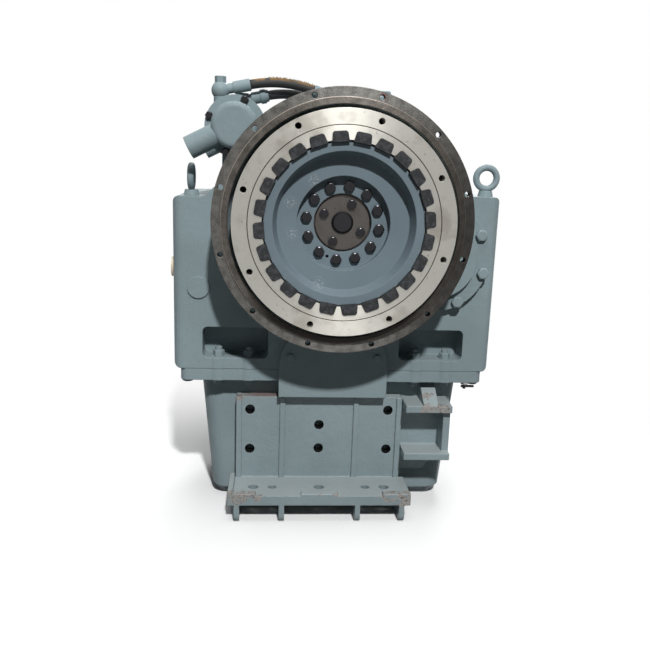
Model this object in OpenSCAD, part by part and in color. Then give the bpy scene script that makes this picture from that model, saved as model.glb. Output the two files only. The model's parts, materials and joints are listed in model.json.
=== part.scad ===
// Marine reversing and reduction gearbox with a rubber-block input coupling.
// Origin: on the input axis, at the face of input flange.
// +X is to right seen from the input end, +Y runs to the output, +Z is up. Millimetres.

/* [Bell housing] */
// Outer diameter of input flange
bell_flange_d = 552.45; // [548:0.05:560]
// Thickness of input flange
bell_flange_t = 22; // [16:1:28]
// Diameter of raised pilot ring on the flange face
bell_pilot_d = 511.175; // [508:0.025:515]
// Height of pilot ring over the flange face
bell_pilot_h = 5; // [3:0.5:8]
// Radial width of pilot ring
bell_pilot_w = 13.5; // [11:0.5:15]
// Bolt circle of input flange
bell_bolt_pcd = 530.225; // [529:0.025:536]
// Number of holes in input flange
bell_bolt_n = 12; // [8:2:16]
// Diameter of holes in input flange
bell_hole_d = 11.9; // [10:0.1:13]
// Distance from the flange face to casing
bell_depth = 140; // [134:1:150]
// Thickness of bell's back plate
bell_plate_t = 20; // [16:1:24]
// Outer diameter of bell at the casing
bell_rear_d = 444; // [438:1:446]
// Wall of bell
bell_wall = 12; // [9:1:15]
// Bolt circle of screws inside the bell
bell_inner_pcd = 376; // [370:1:380]
// Number of screws inside the bell
bell_inner_n = 10; // [8:1:12]
// Radius of lobe that closes the reverse shaft's bearing
lobe_r = 124; // [122:1:128]
// Radius of raised boss on the lobe
lobe_boss_r = 91; // [86:1:94]
// Height of raised boss on the lobe
lobe_boss_h = 14; // [8:1:18]
// Bolt circle of lobe
lobe_pcd = 228; // [224:1:230]
// Direction of lobe's first screw
lobe_phase = 28.3; // [24:0.1:32]

/* [Coupling] */
// Gap from bell housing's pilot to drive ring
ring_space = 22.225; // [20:0.025:25]
// How far drive ring stands in front of flange face
ring_front = 25.4; // [20:0.1:30]
// Thickness of drive ring
ring_t = 48; // [44:1:52]
// Drive ring's rim to its bolt circle
ring_bolt_inset = 14.2875; // [12:0.0125:17]
// Number of holes in drive ring
ring_bolt_n = 8; // [6:1:12]
// Diameter of holes in drive ring
ring_hole_d = 13.5; // [11:0.1:16]
// Direction of drive ring's first hole
ring_phase = 117.36; // [100:0.01:130]
// Diameter of turned groove in drive ring's face
ring_groove_d = 401; // [396:1:406]
// Width of turned groove
ring_groove_w = 1.8; // [1:0.1:3]
// Depth of turned groove
ring_groove_depth = 1.5; // [0.5:0.1:3]
// Radius of drive ring's tooth tips
ring_tip_r = 171; // [170:0.5:174]
// Number of rubber blocks
block_n = 24; // [20:1:24]
// Direction of first rubber block
block_phase = 5; // [0:0.1:15]
// Radius of rubber blocks' inner faces
block_r0 = 166.5; // [165:0.5:167]
// Radius of rubber blocks' outer faces
block_r1 = 188; // [184:0.5:191]
// Width of a rubber block at its inner face
block_w0 = 36; // [32:0.5:37]
// Width of a rubber block at its outer face
block_w1 = 30; // [26:0.5:31]
// Corner cut of rubber blocks
block_cut = 3; // [1:0.5:5]
// How far rubber blocks stand in front of drive ring
block_proud = 3; // [1:0.5:6]
// Gap round a rubber block
block_gap = 0.3; // [0.1:0.1:0.6]
// Outer diameter of spider
spider_d = 336; // [335:1:338]
// Inner diameter of spider's rim at its front edge
spider_rim_in_d = 298; // [290:1:304]
// Inner diameter of spider's rim at its web
spider_web_d = 280; // [270:1:286]
// How far spider's rim stands in front of flange face
spider_front = 20; // [15:1:24]
// Depth of spider's web behind the flange face
spider_web_y = 12; // [8:1:16]
// Thickness of spider's web
spider_web_t = 20; // [18:1:22]
// Length of spider's rim
spider_rim_len = 44; // [42:1:48]
// Diameter of round recess in spider's web
spider_recess_d = 198; // [190:1:206]
// Depth of round recess in spider's web
spider_recess_t = 22; // [20:1:24]
// Bore of spider
spider_bore_d = 124; // [122:1:128]
// Bolt circle of spider
spider_pcd = 157; // [155:1:160]
// Number of bolts in spider
spider_bolt_n = 12; // [8:1:12]
// Direction of spider's first bolt
spider_phase = 21.6; // [0:0.1:30]
// Diameter of hub's flange
hub_flange_d = 196; // [186:1:204]
// Thickness of hub's flange
hub_flange_t = 22; // [18:1:26]
// Diameter of hub's neck
hub_neck_d = 150; // [140:1:160]
// Length of hub from the spider to its rear end
hub_len = 48; // [44:1:50]
// Length of hub's spigot in spider
hub_spigot_h = 4; // [3:1:6]
// Diameter of shaft end plate
end_plate_d = 116; // [112:1:120]
// Thickness of shaft end plate
end_plate_t = 8; // [7:1:10]
// Bolt circle of shaft end plate
end_plate_pcd = 88; // [80:1:92]
// Direction of end plate's first bolt
end_plate_phase = 64.4; // [0:0.1:90]
// Diameter of boss at the middle of end plate
end_boss_d = 46; // [40:1:52]
// Height of boss at the middle of end plate
end_boss_h = 8; // [4:1:12]
// Chamfer of boss at the middle of end plate
end_boss_cut = 4.5; // [2:0.5:6]

/* [Gear train] */
// Distance between the input axis and the output axis
output_centre = 355; // [355:0.5:360]
// Distance between the input axis and the reverse axis
reverse_centre = 240; // [239:0.5:242]
// Teeth of two transmission gears
gear_z = 40; // [36:1:44]
// Teeth of ahead and reverse pinions
pinion_z = 20; // [18:1:20]
// Teeth of output gear
output_z = 80; // [78:1:82]
// Pressure angle of teeth
tooth_angle = 20; // [18:0.5:22]
// Backlash at the pitch circle
backlash = 0.5; // [0.3:0.05:0.8]
// Width of transmission gears
gear_w = 45; // [38:1:48]
// Casing's front to transmission gears
gear_y = 50; // [48:1:54]
// Diameter of clutch drums
drum_d = 200; // [180:1:220]
// Length of clutch drums
drum_len = 88; // [80:1:92]
// Axial gap between the pieces on a shaft
axial_gap = 4; // [2:0.5:6]
// Width of pinions
pinion_w = 84; // [76:1:88]
// Width of output gear
output_w = 78; // [70:1:80]
// Thickness of output gear's web
output_web_t = 30; // [24:1:36]
// Rim of output gear below its teeth
output_rim = 26; // [20:1:32]
// Diameter of output gear's hub
output_hub_d = 200; // [180:1:220]
// Diameter of round holes in output gear's web
output_light_d = 74; // [60:1:80]
// Number of round holes in output gear's web
output_light_n = 6; // [4:1:7]
// Diameter of input shaft in hub and the front bearing
input_front_d = 110; // [104:1:110]
// Diameter of shafts in gears and clutch drums
shaft_mid_d = 115; // [112:1:118]
// Diameter of shafts in pinions and the small bearings
shaft_pinion_d = 90; // [84:1:92]
// Diameter of output shaft in its front bearing
output_front_d = 76; // [72:1:78]
// Diameter of output shaft in its gear and its rear bearing
output_mid_d = 130; // [124:1:134]
// Diameter of output shaft in its flange
output_rear_d = 120; // [112:1:122]
// Clearance of a running fit, on the radius
run_gap = 0.05; // [0.02:0.01:0.1]
// Clearance of a fixed fit, on the radius
fit_gap = 0.05; // [0.02:0.01:0.1]

/* [Bearings] */
// Outer diameter of input shaft's front bearing
input_bearing_d = 200; // [196:1:204]
// Outer diameter of small bearings
small_bearing_d = 160; // [156:1:164]
// Outer diameter of output shaft's front bearing
output_front_bearing_d = 120; // [118:1:121]
// Outer diameter of output shaft's rear bearing
output_rear_bearing_d = 230; // [226:1:234]
// Width of bearings
bearing_w = 34; // [30:1:36]
// Thickness of bearing races
race_t = 7; // [6:0.5:7.5]
// Number of rollers in a bearing
roller_n = 14; // [10:1:16]
// Gap between the rollers and the outer race
roller_gap = 0.3; // [0.2:0.05:0.5]

/* [Upper casing] */
// Half of upper casing's width
casing_half_w = 373; // [370:1:384]
// Length of casing
casing_len = 380; // [372:1:400]
// Height of left shoulder
shoulder_left_z = 42; // [38:1:48]
// Height of right shoulder
shoulder_right_z = 58; // [52:1:62]
// Half width where the hump leaves the shoulders
hump_foot_x = 302; // [296:1:308]
// Half width of hump's knee
hump_knee_x = 266; // [262:1:270]
// Height of hump's knee
hump_knee_z = 76; // [72:1:80]
// Half width of hump's waist
hump_waist_x = 205; // [200:1:210]
// Height of hump's waist
hump_waist_z = 98; // [94:1:102]
// Half width of hump's top
hump_top_x = 135; // [130:1:140]
// Height of hump's top
hump_top_z = 152; // [150:1:156]
// Rounding of casing's long edges
casing_edge_r = 16; // [8:1:20]
// Rounding of casing's upright edges
casing_corner_r = 22; // [14:1:30]
// Side wall of upper casing
casing_wall = 14; // [10:1:16]
// Front and rear wall of upper casing
casing_end_wall = 25; // [20:1:28]
// Wall round a bearing
bearing_boss_wall = 12; // [10:1:13]
// Height of thick rim along the casing joint
joint_rim_h = 30; // [26:1:36]
// Width of thick rim along the casing joint
joint_rim_w = 56; // [52:1:60]
// Nearer side of stud pockets from the middle plane
pocket_x0 = 154; // [150:1:158]
// Farther side of stud pockets from the middle plane
pocket_x1 = 306; // [300:1:312]
// Height of pocket's floor over the joint
pocket_floor_h = 26; // [24:1:32]
// Height of pocket's ceiling over the joint
pocket_top_h = 100; // [92:1:104]
// Depth of stud pockets
pocket_depth = 62; // [54:1:66]
// Corner rounding of stud pockets
pocket_r = 12; // [6:1:16]
// Wall of stud pockets
pocket_wall = 9; // [7:1:12]
// Nearer stud from the middle plane
stud_x0 = 198; // [194:1:204]
// Farther stud from the middle plane
stud_x1 = 270; // [264:1:274]
// Casing's ends to studs
stud_inset = 26; // [24:1:34]
// Radius of half-round bosses at the studs
stud_boss_r = 30; // [29:1:32]

/* [Lower casing] */
// Half of joint flange's width
sump_flange_half_w = 358; // [354:1:364]
// Thickness of joint flange
sump_flange_t = 28; // [24:1:32]
// Corner rounding of joint flange
sump_flange_r = 18; // [10:1:24]
// Half width of sump at the joint flange
sump_top_half_w = 315; // [312:1:318]
// Half width of sump at its bottom
sump_low_half_w = 288; // [284:1:292]
// Height of sump below the joint
sump_depth = 345; // [340:1:350]
// Casing's ends to sump's ends
sump_inset = 50; // [46:1:56]
// Rounding of sump's upright edges
sump_corner_r = 40; // [30:1:46]
// Chamfer round the sump's bottom
sump_chamfer = 26; // [20:1:32]
// Wall of sump
sump_wall = 12; // [9:1:13]
// Joint flange's side to joint bolts
joint_bolt_edge = 15; // [13:1:17]
// Number of joint bolts on a side
joint_bolt_n = 5; // [3:1:6]
// Casing's ends to first joint bolt
joint_bolt_inset = 30; // [26:1:36]

/* [Covers] */
// Diameter of input shaft's front cover
input_cover_d = 236; // [230:1:242]
// Thickness of input shaft's front cover
input_cover_t = 10; // [8:1:13]
// Bolt circle of input shaft's front cover
input_cover_pcd = 218; // [217:1:220]
// Diameter of output shaft's front cover
output_cover_d = 256; // [248:1:262]
// Thickness of output shaft's front cover
output_cover_t = 10; // [8:1:12]
// Depth of output front cover's flat edge below joint
output_cover_drop = 66; // [65:1:70]
// Bolt circle of output shaft's front cover
output_cover_pcd = 214; // [212:1:218]
// Diameter of small rear covers
small_cover_d = 204; // [200:1:210]
// Thickness of small rear covers
small_cover_t = 14; // [10:1:18]
// Bolt circle of small rear covers
small_cover_pcd = 182; // [180:1:184]
// Diameter of output shaft's rear cover
rear_cover_d = 300; // [292:1:306]
// Thickness of output shaft's rear cover
rear_cover_t = 28; // [24:1:32]
// Bolt circle of output shaft's rear cover
rear_cover_pcd = 264; // [262:1:268]
// Width of oil seals
seal_w = 14; // [10:1:16]
// Radial height of oil seals
seal_h = 14; // [10:1:16]
// Valve block to inspection cover
inspection_gap = 32; // [24:1:40]
// Width of inspection cover
inspection_w = 200; // [180:1:220]
// Thickness of inspection cover
inspection_t = 10; // [8:1:14]
// Casing's rear to inspection cover
inspection_inset = 40; // [34:1:46]
// Depth of oil pump behind its flange
pump_len = 78; // [60:1:90]
// Radius of oil pump's round body
pump_r = 62; // [54:1:70]

/* [Output flange] */
// Outer diameter of output flange
out_flange_d = 320; // [300:1:340]
// Thickness of output flange
out_flange_t = 28; // [24:1:32]
// Bolt circle of output flange
out_flange_pcd = 270; // [256:1:280]
// Number of holes in output flange
out_flange_n = 10; // [8:1:12]
// Diameter of holes in output flange
out_flange_hole_d = 27; // [22:0.5:30]
// Diameter of pilot recess in output flange
out_pilot_d = 140; // [132:1:150]
// Depth of pilot recess
out_pilot_depth = 8; // [5:1:10]
// Length of output flange with its hub
out_hub_len = 150; // [130:1:170]
// Diameter of output flange's hub
out_hub_d = 190; // [176:1:200]
// Gap between the rear cover and the output flange
out_hub_gap = 3; // [2:0.5:5]

/* [Oil cooler] */
// Middle plane to cooler
cooler_x = 234; // [232:1:238]
// Height of cooler's axis
cooler_z = 196; // [194:1:202]
// Diameter of cooler's shell
cooler_d = 116; // [108:1:118]
// Length of cooler's shell
cooler_len = 316; // [290:1:330]
// Casing's front to cooler's shell
cooler_y = 22; // [18:1:30]
// Diameter of cooler's end flanges
cooler_flange_d = 134; // [130:1:140]
// Thickness of cooler's end flanges
cooler_flange_t = 12; // [9:1:15]
// Diameter of cooler caps' drum
cooler_cap_d = 100; // [94:1:104]
// Length of cooler caps' drum
cooler_cap_len = 54; // [52:1:60]
// Rounding of cooler caps' drum
cooler_cap_r = 12; // [8:1:16]
// Bolt circle of cooler caps
cooler_pcd = 120; // [119:0.5:122]
// Direction of first cooler bolt
cooler_phase = 70; // [60:1:80]
// Outer diameter of water stub
stub_d = 50; // [44:1:50]
// Bore of water stub
stub_bore_d = 38; // [32:1:40]
// Reach of water stub from the cooler's axis
stub_reach = 111; // [100:1:120]
// Direction of front water stub
stub_angle = 207; // [200:1:212]
// Width of cooler's saddles
saddle_w = 30; // [22:1:36]
// Half of cooler saddles' spread
saddle_half = 34; // [30:1:38]

/* [Hoses] */
// Diameter of hoses
hose_d = 21; // [18:0.5:22]
// Diameter of hose ferrules
ferrule_d = 27; // [25:0.5:28]
// Length of hose ferrules
ferrule_len = 38; // [30:1:42]
// Bend radius of upper hose
upper_hose_r = 265; // [240:1:290]
// Bend radius of lower hose
lower_hose_r = 190; // [180:1:192]
// Turn of each hose between its ends
hose_turn = 31; // [28:0.5:33]
// Direction of hoses where they enter the valve, below level
hose_drop = 18.6; // [16:0.1:21]
// Distance of upper hose from the casing's front
upper_hose_y = 50; // [49:0.5:52]
// Distance of lower hose from the casing's front
lower_hose_y = 72; // [72:0.5:76]
// Height of upper hose at the valve
upper_port_z = 268; // [267:0.5:269]
// Height of lower hose at the valve
lower_port_z = 250; // [249.5:0.5:251]
// Radius of ball on the cooler's upper fitting
ball_r = 20; // [18:0.5:21]
// Diameter of pipes on the cooler
pipe_d = 22; // [18:0.5:24]

/* [Oil filter] */
// Middle plane to oil filter
filter_x = 210; // [200:1:220]
// Casing's rear to oil filter's axis
filter_reach = 54; // [52:1:60]
// Input axis down to filter bowl
filter_drop = 10; // [0:1:20]
// Height of filter head
filter_head_h = 40; // [34:1:46]
// Diameter of filter bowl
filter_d = 92; // [86:1:94]
// Length of filter bowl
filter_len = 158; // [150:1:166]

/* [Control valve] */
// Left side of valve block
valve_x0 = -25; // [-28:1:-20]
// Width of valve block
valve_w = 140; // [130:1:150]
// Casing's front to valve block
valve_y = 18; // [14:1:24]
// Length of valve block
valve_len = 160; // [140:1:166]
// Height of valve block
valve_h = 134; // [132:1:140]
// Diameter of lever's spindle
spindle_d = 18; // [14:0.5:20]
// Length of lever's spindle
spindle_len = 34; // [30:1:40]
// Length of control lever
lever_len = 120; // [90:1:130]
// Thickness of control lever
lever_t = 10; // [8:1:12]

/* [Fittings] */
// Outer diameter of lifting eyes
eye_d = 63; // [58:1:66]
// Bar diameter of lifting eyes
eye_bar_d = 15; // [12:0.5:17]
// Diameter of lifting eyes' collar
eye_collar_d = 36; // [32:1:40]
// Height of lifting eyes' collar
eye_collar_h = 13; // [10:1:16]
// Thread diameter of lifting eyes
eye_thread_d = 16; // [14:1:18]
// Middle plane to left lifting eye
eye_left_x = 333; // [328:1:336]
// Middle plane to right lifting eye
eye_right_x = 345; // [338:1:348]
// Casing's front to lifting eyes
eye_y = 42; // [38:1:60]
// Middle plane to core plug
plug_x = 315; // [310:1:320]
// Height of core plug below the input axis
plug_drop = 163; // [155:1:170]
// Diameter of core plug
plug_d = 50; // [44:1:54]
// Height of core plug over the casing
plug_h = 4; // [2:0.5:6]
// Diameter of sight glass
sight_d = 46; // [40:1:50]
// Height of sight glass over the casing
sight_h = 8; // [5:1:10]
// Height of sight glass below the input axis
sight_drop = 125; // [118:1:132]
// Casing's front to sight glass
sight_y = 60; // [50:1:90]
// Joint flange's side to drain cock
cock_edge = 23; // [20:1:26]
// Casing's front to drain cock
cock_y = 65; // [58:1:80]
// Diameter of drain cock
cock_d = 18; // [14:1:20]
// Length of drain cock
cock_len = 22; // [18:1:26]
// Stem diameter of drain cock's handle
cock_stem_d = 8; // [6:0.5:9]
// Length of drain cock's handle
cock_bar_len = 32; // [26:1:38]
// Thread diameter of drain plug
drain_d = 30; // [24:1:33]
// Height of drain plug over the base
drain_z = 60; // [52:1:70]

/* [Brackets] */
// Middle of front bracket, to left of middle plane
bracket_x = 28; // [24:1:32]
// Half of front bracket's width
bracket_half_w = 200; // [197:1:201]
// Thickness of front bracket's plate
bracket_plate_t = 30; // [26:1:34]
// Top of front bracket below the joint
bracket_top = 73; // [72:1:80]
// Height of front bracket's plate over its foot flange
bracket_plate_h = 206; // [200:1:210]
// Thickness of front bracket's foot flange
bracket_foot_t = 24; // [20:1:28]
// Reach of front bracket's foot flange
bracket_foot_len = 112; // [106:1:118]
// Half of foot flange's width
bracket_foot_half_w = 214; // [210:1:216]
// Diameter of holes in front bracket's plate
bracket_hole_d = 23; // [18:0.5:25]
// Bracket's middle to outer holes
bracket_hole_x = 167; // [160:1:170]
// Upper outer holes below the bracket's top
bracket_hole_z0 = 33; // [30:1:36]
// Lower outer holes below the bracket's top
bracket_hole_z1 = 133; // [128:1:138]
// Upper middle hole below the bracket's top
bracket_mid_z0 = 71; // [66:1:76]
// Lower middle hole below the bracket's top
bracket_mid_z1 = 131; // [126:1:138]
// Bracket's middle to inner ribs
bracket_rib_x = 89; // [84:1:94]
// Width of bracket's ribs
bracket_rib_w = 13; // [9:1:15]
// Height of bracket's ribs over the plate
bracket_rib_h = 6; // [4:1:9]
// Diameter of large holes in foot flange
foot_hole_d = 24; // [20:0.5:26]
// Diameter of small holes in foot flange
foot_small_d = 20; // [16:0.5:22]
// Bracket's middle to outer foot holes
foot_hole_x = 156; // [152:1:160]
// Bracket's middle to small foot holes
foot_small_x = 111; // [106:1:114]
// Distance of foot holes from the plate's face
foot_hole_y = 60; // [54:1:66]
// Height of pads on the foot flange's front edge
foot_pad_h = 5; // [3:0.5:7]
// Depth of pads on the foot flange's front edge
foot_pad_len = 20; // [16:1:24]
// Left side of side bracket
side_x0 = 174; // [173.5:0.5:176]
// Right side of side bracket
side_x1 = 285; // [280:1:290]
// Thickness of side bracket's panel
side_panel_t = 16; // [12:1:20]
// Reach of side bracket's fins
side_fin_len = 84; // [70:1:92]
// Thickness of side bracket's fins
side_fin_t = 17; // [13:1:20]
// Top fin of side bracket below the joint
side_fin_z0 = 77; // [74:1:82]
// Lower fin of side bracket below the joint
side_fin_z1 = 196; // [190:1:202]
// Top of side bracket's lug below the joint
side_lug_z = 38; // [34:1:44]
// Bottom of side bracket below the joint
side_low_z = 262; // [256:1:268]

/* [Screws] */
// Thread diameter of large screws
big_screw_d = 16; // [14:1:18]
// Width across flats of large screws
big_screw_af = 24; // [21:1:27]
// Head height of large screws
big_screw_h = 10; // [8:0.5:12]
// Thread diameter of small screws
small_screw_d = 10; // [8:1:11]
// Width across flats of small screws
small_screw_af = 16; // [14:1:17]
// Head height of small screws
small_screw_h = 7; // [5:0.5:8]
// Grip of screws below their covers
screw_grip = 18; // [14:1:20]
// Thread diameter of spider's bolts
spider_screw_d = 14; // [12:1:16]
// Width across flats of spider's bolts
spider_screw_af = 21; // [18:1:22]
// Head height of spider's bolts
spider_screw_h = 9; // [7:0.5:11]
// Thread diameter of end plate's bolts
end_screw_d = 12; // [10:1:12]
// Width across flats of end plate's bolts
end_screw_af = 18; // [16:1:19]
// Head height of end plate's bolts
end_screw_h = 8; // [6:0.5:10]

/* [Hidden] */
$fn = 72;

// Colours of real finishes
paint = [0.50, 0.56, 0.58];
steel = [0.62, 0.60, 0.56];
dark_steel = [0.16, 0.16, 0.17];
brown_steel = [0.36, 0.32, 0.29];
rubber = [0.07, 0.07, 0.08];

// Stations along the shafts
casing_y0 = bell_depth;
casing_y1 = bell_depth + casing_len;
ring_d = bell_pilot_d - 2 * ring_space;
ring_bolt_pcd = ring_d - 2 * ring_bolt_inset;
joint_bolt_x = sump_flange_half_w - joint_bolt_edge;
cock_x = sump_flange_half_w - cock_edge;
inspection_len = casing_len - valve_y - valve_len - inspection_gap - inspection_inset;
plate_y = bell_depth - bell_plate_t;
gear_y0 = casing_y0 + gear_y;
gear_y1 = gear_y0 + gear_w;
drum_y0 = gear_y1 + axial_gap;
drum_y1 = drum_y0 + drum_len;
pinion_y0 = drum_y1 + axial_gap;
pinion_y1 = pinion_y0 + pinion_w;
output_y0 = pinion_y0 + (pinion_w - output_w) / 2;
output_y1 = output_y0 + output_w;
front_race_y1 = casing_y0 + bearing_w;
rear_race_y0 = casing_y1 - bearing_w;
shaft_end_gap = 2;

// Stations of coupling
spider_floor_y = spider_web_y + spider_recess_t;
spider_back = spider_floor_y + spider_web_t;
hub_front = spider_back - hub_spigot_h;
hub_back = spider_back + hub_len;
plate_front = hub_front - end_plate_t;

// Shaft axes: the reverse axis lies at the centre distances from the input and output axes
reverse_angle = 2 * asin(reverse_centre / 2 / output_centre);
reverse_x = output_centre * sin(reverse_angle);
reverse_z = output_centre * cos(reverse_angle) - output_centre;
split_z = -output_centre;
input_axis = [0, 0];
reverse_axis = [reverse_x, reverse_z];
output_axis = [0, split_z];

// Teeth
gear_m = reverse_centre / gear_z;
drive_m = 2 * output_centre / (pinion_z + output_z);
function mesh_phase(z_from, phase_from, toward, z_to) =
  toward + 180 - (0.5 - (toward - phase_from) * z_from / 360) * 360 / z_to;
reverse_toward = atan2(reverse_z, reverse_x);
reverse_gear_phase = mesh_phase(gear_z, 0, reverse_toward, gear_z);
output_phase = mesh_phase(pinion_z, 0, -90, output_z);
back_toward = atan2(reverse_z - split_z, reverse_x);
reverse_pinion_phase = mesh_phase(output_z, output_phase, back_toward, pinion_z);

// Lower casing
flange_z = split_z - sump_flange_t;
base_z = split_z - sump_depth;
sump_y0 = casing_y0 + sump_inset;
sump_y1 = casing_y1 - sump_inset;
cavity_gap = 10;
tooth_tip_r = reverse_centre / 2 + gear_m;
cavity_r = tooth_tip_r + cavity_gap;

// Cooler and hoses
cooler_y0 = casing_y0 + cooler_y;
cooler_y1 = cooler_y0 + cooler_len;
hose_rise = hose_turn - hose_drop;
upper_y = casing_y0 + upper_hose_y;
lower_y = casing_y0 + lower_hose_y;

// Brackets
bracket_y0 = sump_y0 - bracket_plate_t;
output_step_y = sump_y0 + sump_wall + shaft_end_gap;
bracket_z1 = split_z - bracket_top;
foot_z1 = bracket_z1 - bracket_plate_h;
foot_z0 = foot_z1 - bracket_foot_t;
foot_y0 = bracket_y0 - bracket_foot_len;

// Outline helpers
function unit(v) = v / norm(v);
function turn(a) = a > 180 ? a - 360 : a < -180 ? a + 360 : a;
function corner(p, before, after, r, k) =
  let (u = unit(before - p), v = unit(after - p), half = acos(u * v) / 2,
    c = p + unit(u + v) * r / sin(half), s = p + u * r / tan(half) - c, e = p + v * r / tan(half) - c,
    a = atan2(s[1], s[0]), sweep = turn(atan2(e[1], e[0]) - a))
  [for (i = [0:k]) c + r * [cos(a + sweep * i / k), sin(a + sweep * i / k)]];
function rounded(pts, r, k = 5) =
  [for (i = [0:len(pts) - 1])
    each corner(pts[i], pts[(i + len(pts) - 1) % len(pts)], pts[(i + 1) % len(pts)], r, k)];
function box_outline(x0, y0, x1, y1) = [[x0, y0], [x1, y0], [x1, y1], [x0, y1]];

// Tooth outline: involute flanks between the root and tip circles
function inv(a) = tan(a) - a * PI / 180;
function half_tooth(z, m, rho) =
  90 / z - backlash / (2 * m * z) * 180 / PI
  + (inv(tooth_angle) - inv(acos(min(1, m * z / 2 * cos(tooth_angle) / rho)))) * 180 / PI;
function flank(z, m, steps) =
  let (root = m * z / 2 - 1.25 * m, start = max(root, m * z / 2 * cos(tooth_angle)), tip = m * z / 2 + m)
  [for (k = [0:steps]) start + (tip - start) * k / steps];
function tooth(z, m) =
  let (q = flank(z, m, 3), root = m * z / 2 - 1.25 * m, foot = half_tooth(z, m, q[0]),
    low = root < q[0] - 0.1)
  concat(low ? [[root, -foot]] : [], [for (rho = q) [rho, -half_tooth(z, m, rho)]],
     [for (k = [len(q) - 1:-1:0]) [q[k], half_tooth(z, m, q[k])]], low ? [[root, foot]] : []);
function gear_outline(z, m, phase) =
  [for (i = [0:z - 1]) for (p = tooth(z, m))
    p[0] * [cos(p[1] + phase + 360 * i / z), sin(p[1] + phase + 360 * i / z)]];

// Placing helpers: shapes drawn in XZ and carried along Y
module prism_y(y0, y1) translate([0, y1, 0]) rotate([90, 0, 0]) linear_extrude(y1 - y0) children();
module lathe_y(y = 0) translate([0, y, 0]) rotate([-90, 0, 0]) rotate_extrude() children();
module rod_y(d, y0, y1) translate([0, y0, 0]) rotate([-90, 0, 0]) cylinder(d = d, h = y1 - y0);
module rod_x(d, x0, x1) translate([x0, 0, 0]) rotate([0, 90, 0]) cylinder(d = d, h = x1 - x0);
module rod_z(d, z0, z1) translate([0, 0, z0]) cylinder(d = d, h = z1 - z0);
module hex_y(af, y0, y1) translate([0, y0, 0]) rotate([-90, 0, 0])
  cylinder(d = af / cos(30), h = y1 - y0, $fn = 6);
module hex_z(af, z0, z1) translate([0, 0, z0]) cylinder(d = af / cos(30), h = z1 - z0, $fn = 6);
module at_axis(axis) translate([axis[0], 0, axis[1]]) children();
module around_y(n, pcd, phase = 0)
  for (i = [0:n - 1])
    let (a = phase + 360 * i / n) translate([pcd / 2 * cos(a), 0, pcd / 2 * sin(a)]) children();
module tube_y(d, bore, y0, y1) difference() {
  rod_y(d, y0, y1);
  rod_y(bore, y0 - 1, y1 + 1);
}
module box(x0, x1, y0, y1, z0, z1) translate([x0, y0, z0]) cube([x1 - x0, y1 - y0, z1 - z0]);

// A hexagon screw along +Y with its head in front of face at y
module screw_y(d, af, h, y, grip) {
  hex_y(af, y - h, y);
  rod_y(d, y - 0.01, y + grip);
}
module screw_back(d, af, h, y, grip) translate([0, y, 0]) rotate([0, 0, 180]) translate([0, -y, 0])
  screw_y(d, af, h, y, grip);
// The hole that a screw of diameter d sits in
module hole_y(d, y0, y1) rod_y(d + 2 * fit_gap, y0, y1);

// Screw patterns, shared by the screws and their holes
module lobe_places() at_axis(reverse_axis) for (i = [-1:3])
  let (a = lobe_phase - 45 * i) translate([lobe_pcd / 2 * cos(a), 0, lobe_pcd / 2 * sin(a)]) children();
function bell_inner_at(i) = let (a = 9 + 360 * i / bell_inner_n) bell_inner_pcd / 2 * [cos(a), sin(a)];
module bell_inner_places() for (i = [0:bell_inner_n - 1]) let (p = bell_inner_at(i))
  if (norm(p - reverse_axis) > lobe_boss_r + big_screw_d) at_axis(p) children();
module input_cover_places() around_y(6, input_cover_pcd, 30) children();
module output_cover_places() at_axis(output_axis) for (a = [18:36:162])
  translate([output_cover_pcd / 2 * cos(a), 0, output_cover_pcd / 2 * sin(a)]) children();
module small_cover_places(axis) at_axis(axis) around_y(6, small_cover_pcd, 15) children();
module rear_cover_places() at_axis(output_axis) around_y(10, rear_cover_pcd, 18) children();
module stud_places() for (side = [-1, 1], x = [stud_x0, stud_x1],
  y = [casing_y0 + stud_inset, casing_y1 - stud_inset])
  translate([side * x, y, 0]) children();
module joint_bolt_places() for (side = [-1, 1], i = [0:joint_bolt_n - 1])
  translate([side * joint_bolt_x,
       casing_y0 + joint_bolt_inset + (casing_len - 2 * joint_bolt_inset) * i / (joint_bolt_n - 1), 0])
    children();
module inspection_places() for (x = [-1, 1] * (inspection_w / 2 - 14), y = [14, inspection_len - 14])
  translate([x, casing_y1 - inspection_inset - inspection_len + y, 0]) children();

// Stations of covers and the output flange
input_cover_y = plate_y - input_cover_t;
output_cover_y = casing_y0 - output_cover_t;
rear_cover_y = casing_y1 + rear_cover_t;
out_y0 = rear_cover_y + out_hub_gap;
out_y1 = out_y0 + out_hub_len;
inspection_y0 = casing_y1 - inspection_inset - inspection_len;
cut = 1;

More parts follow.
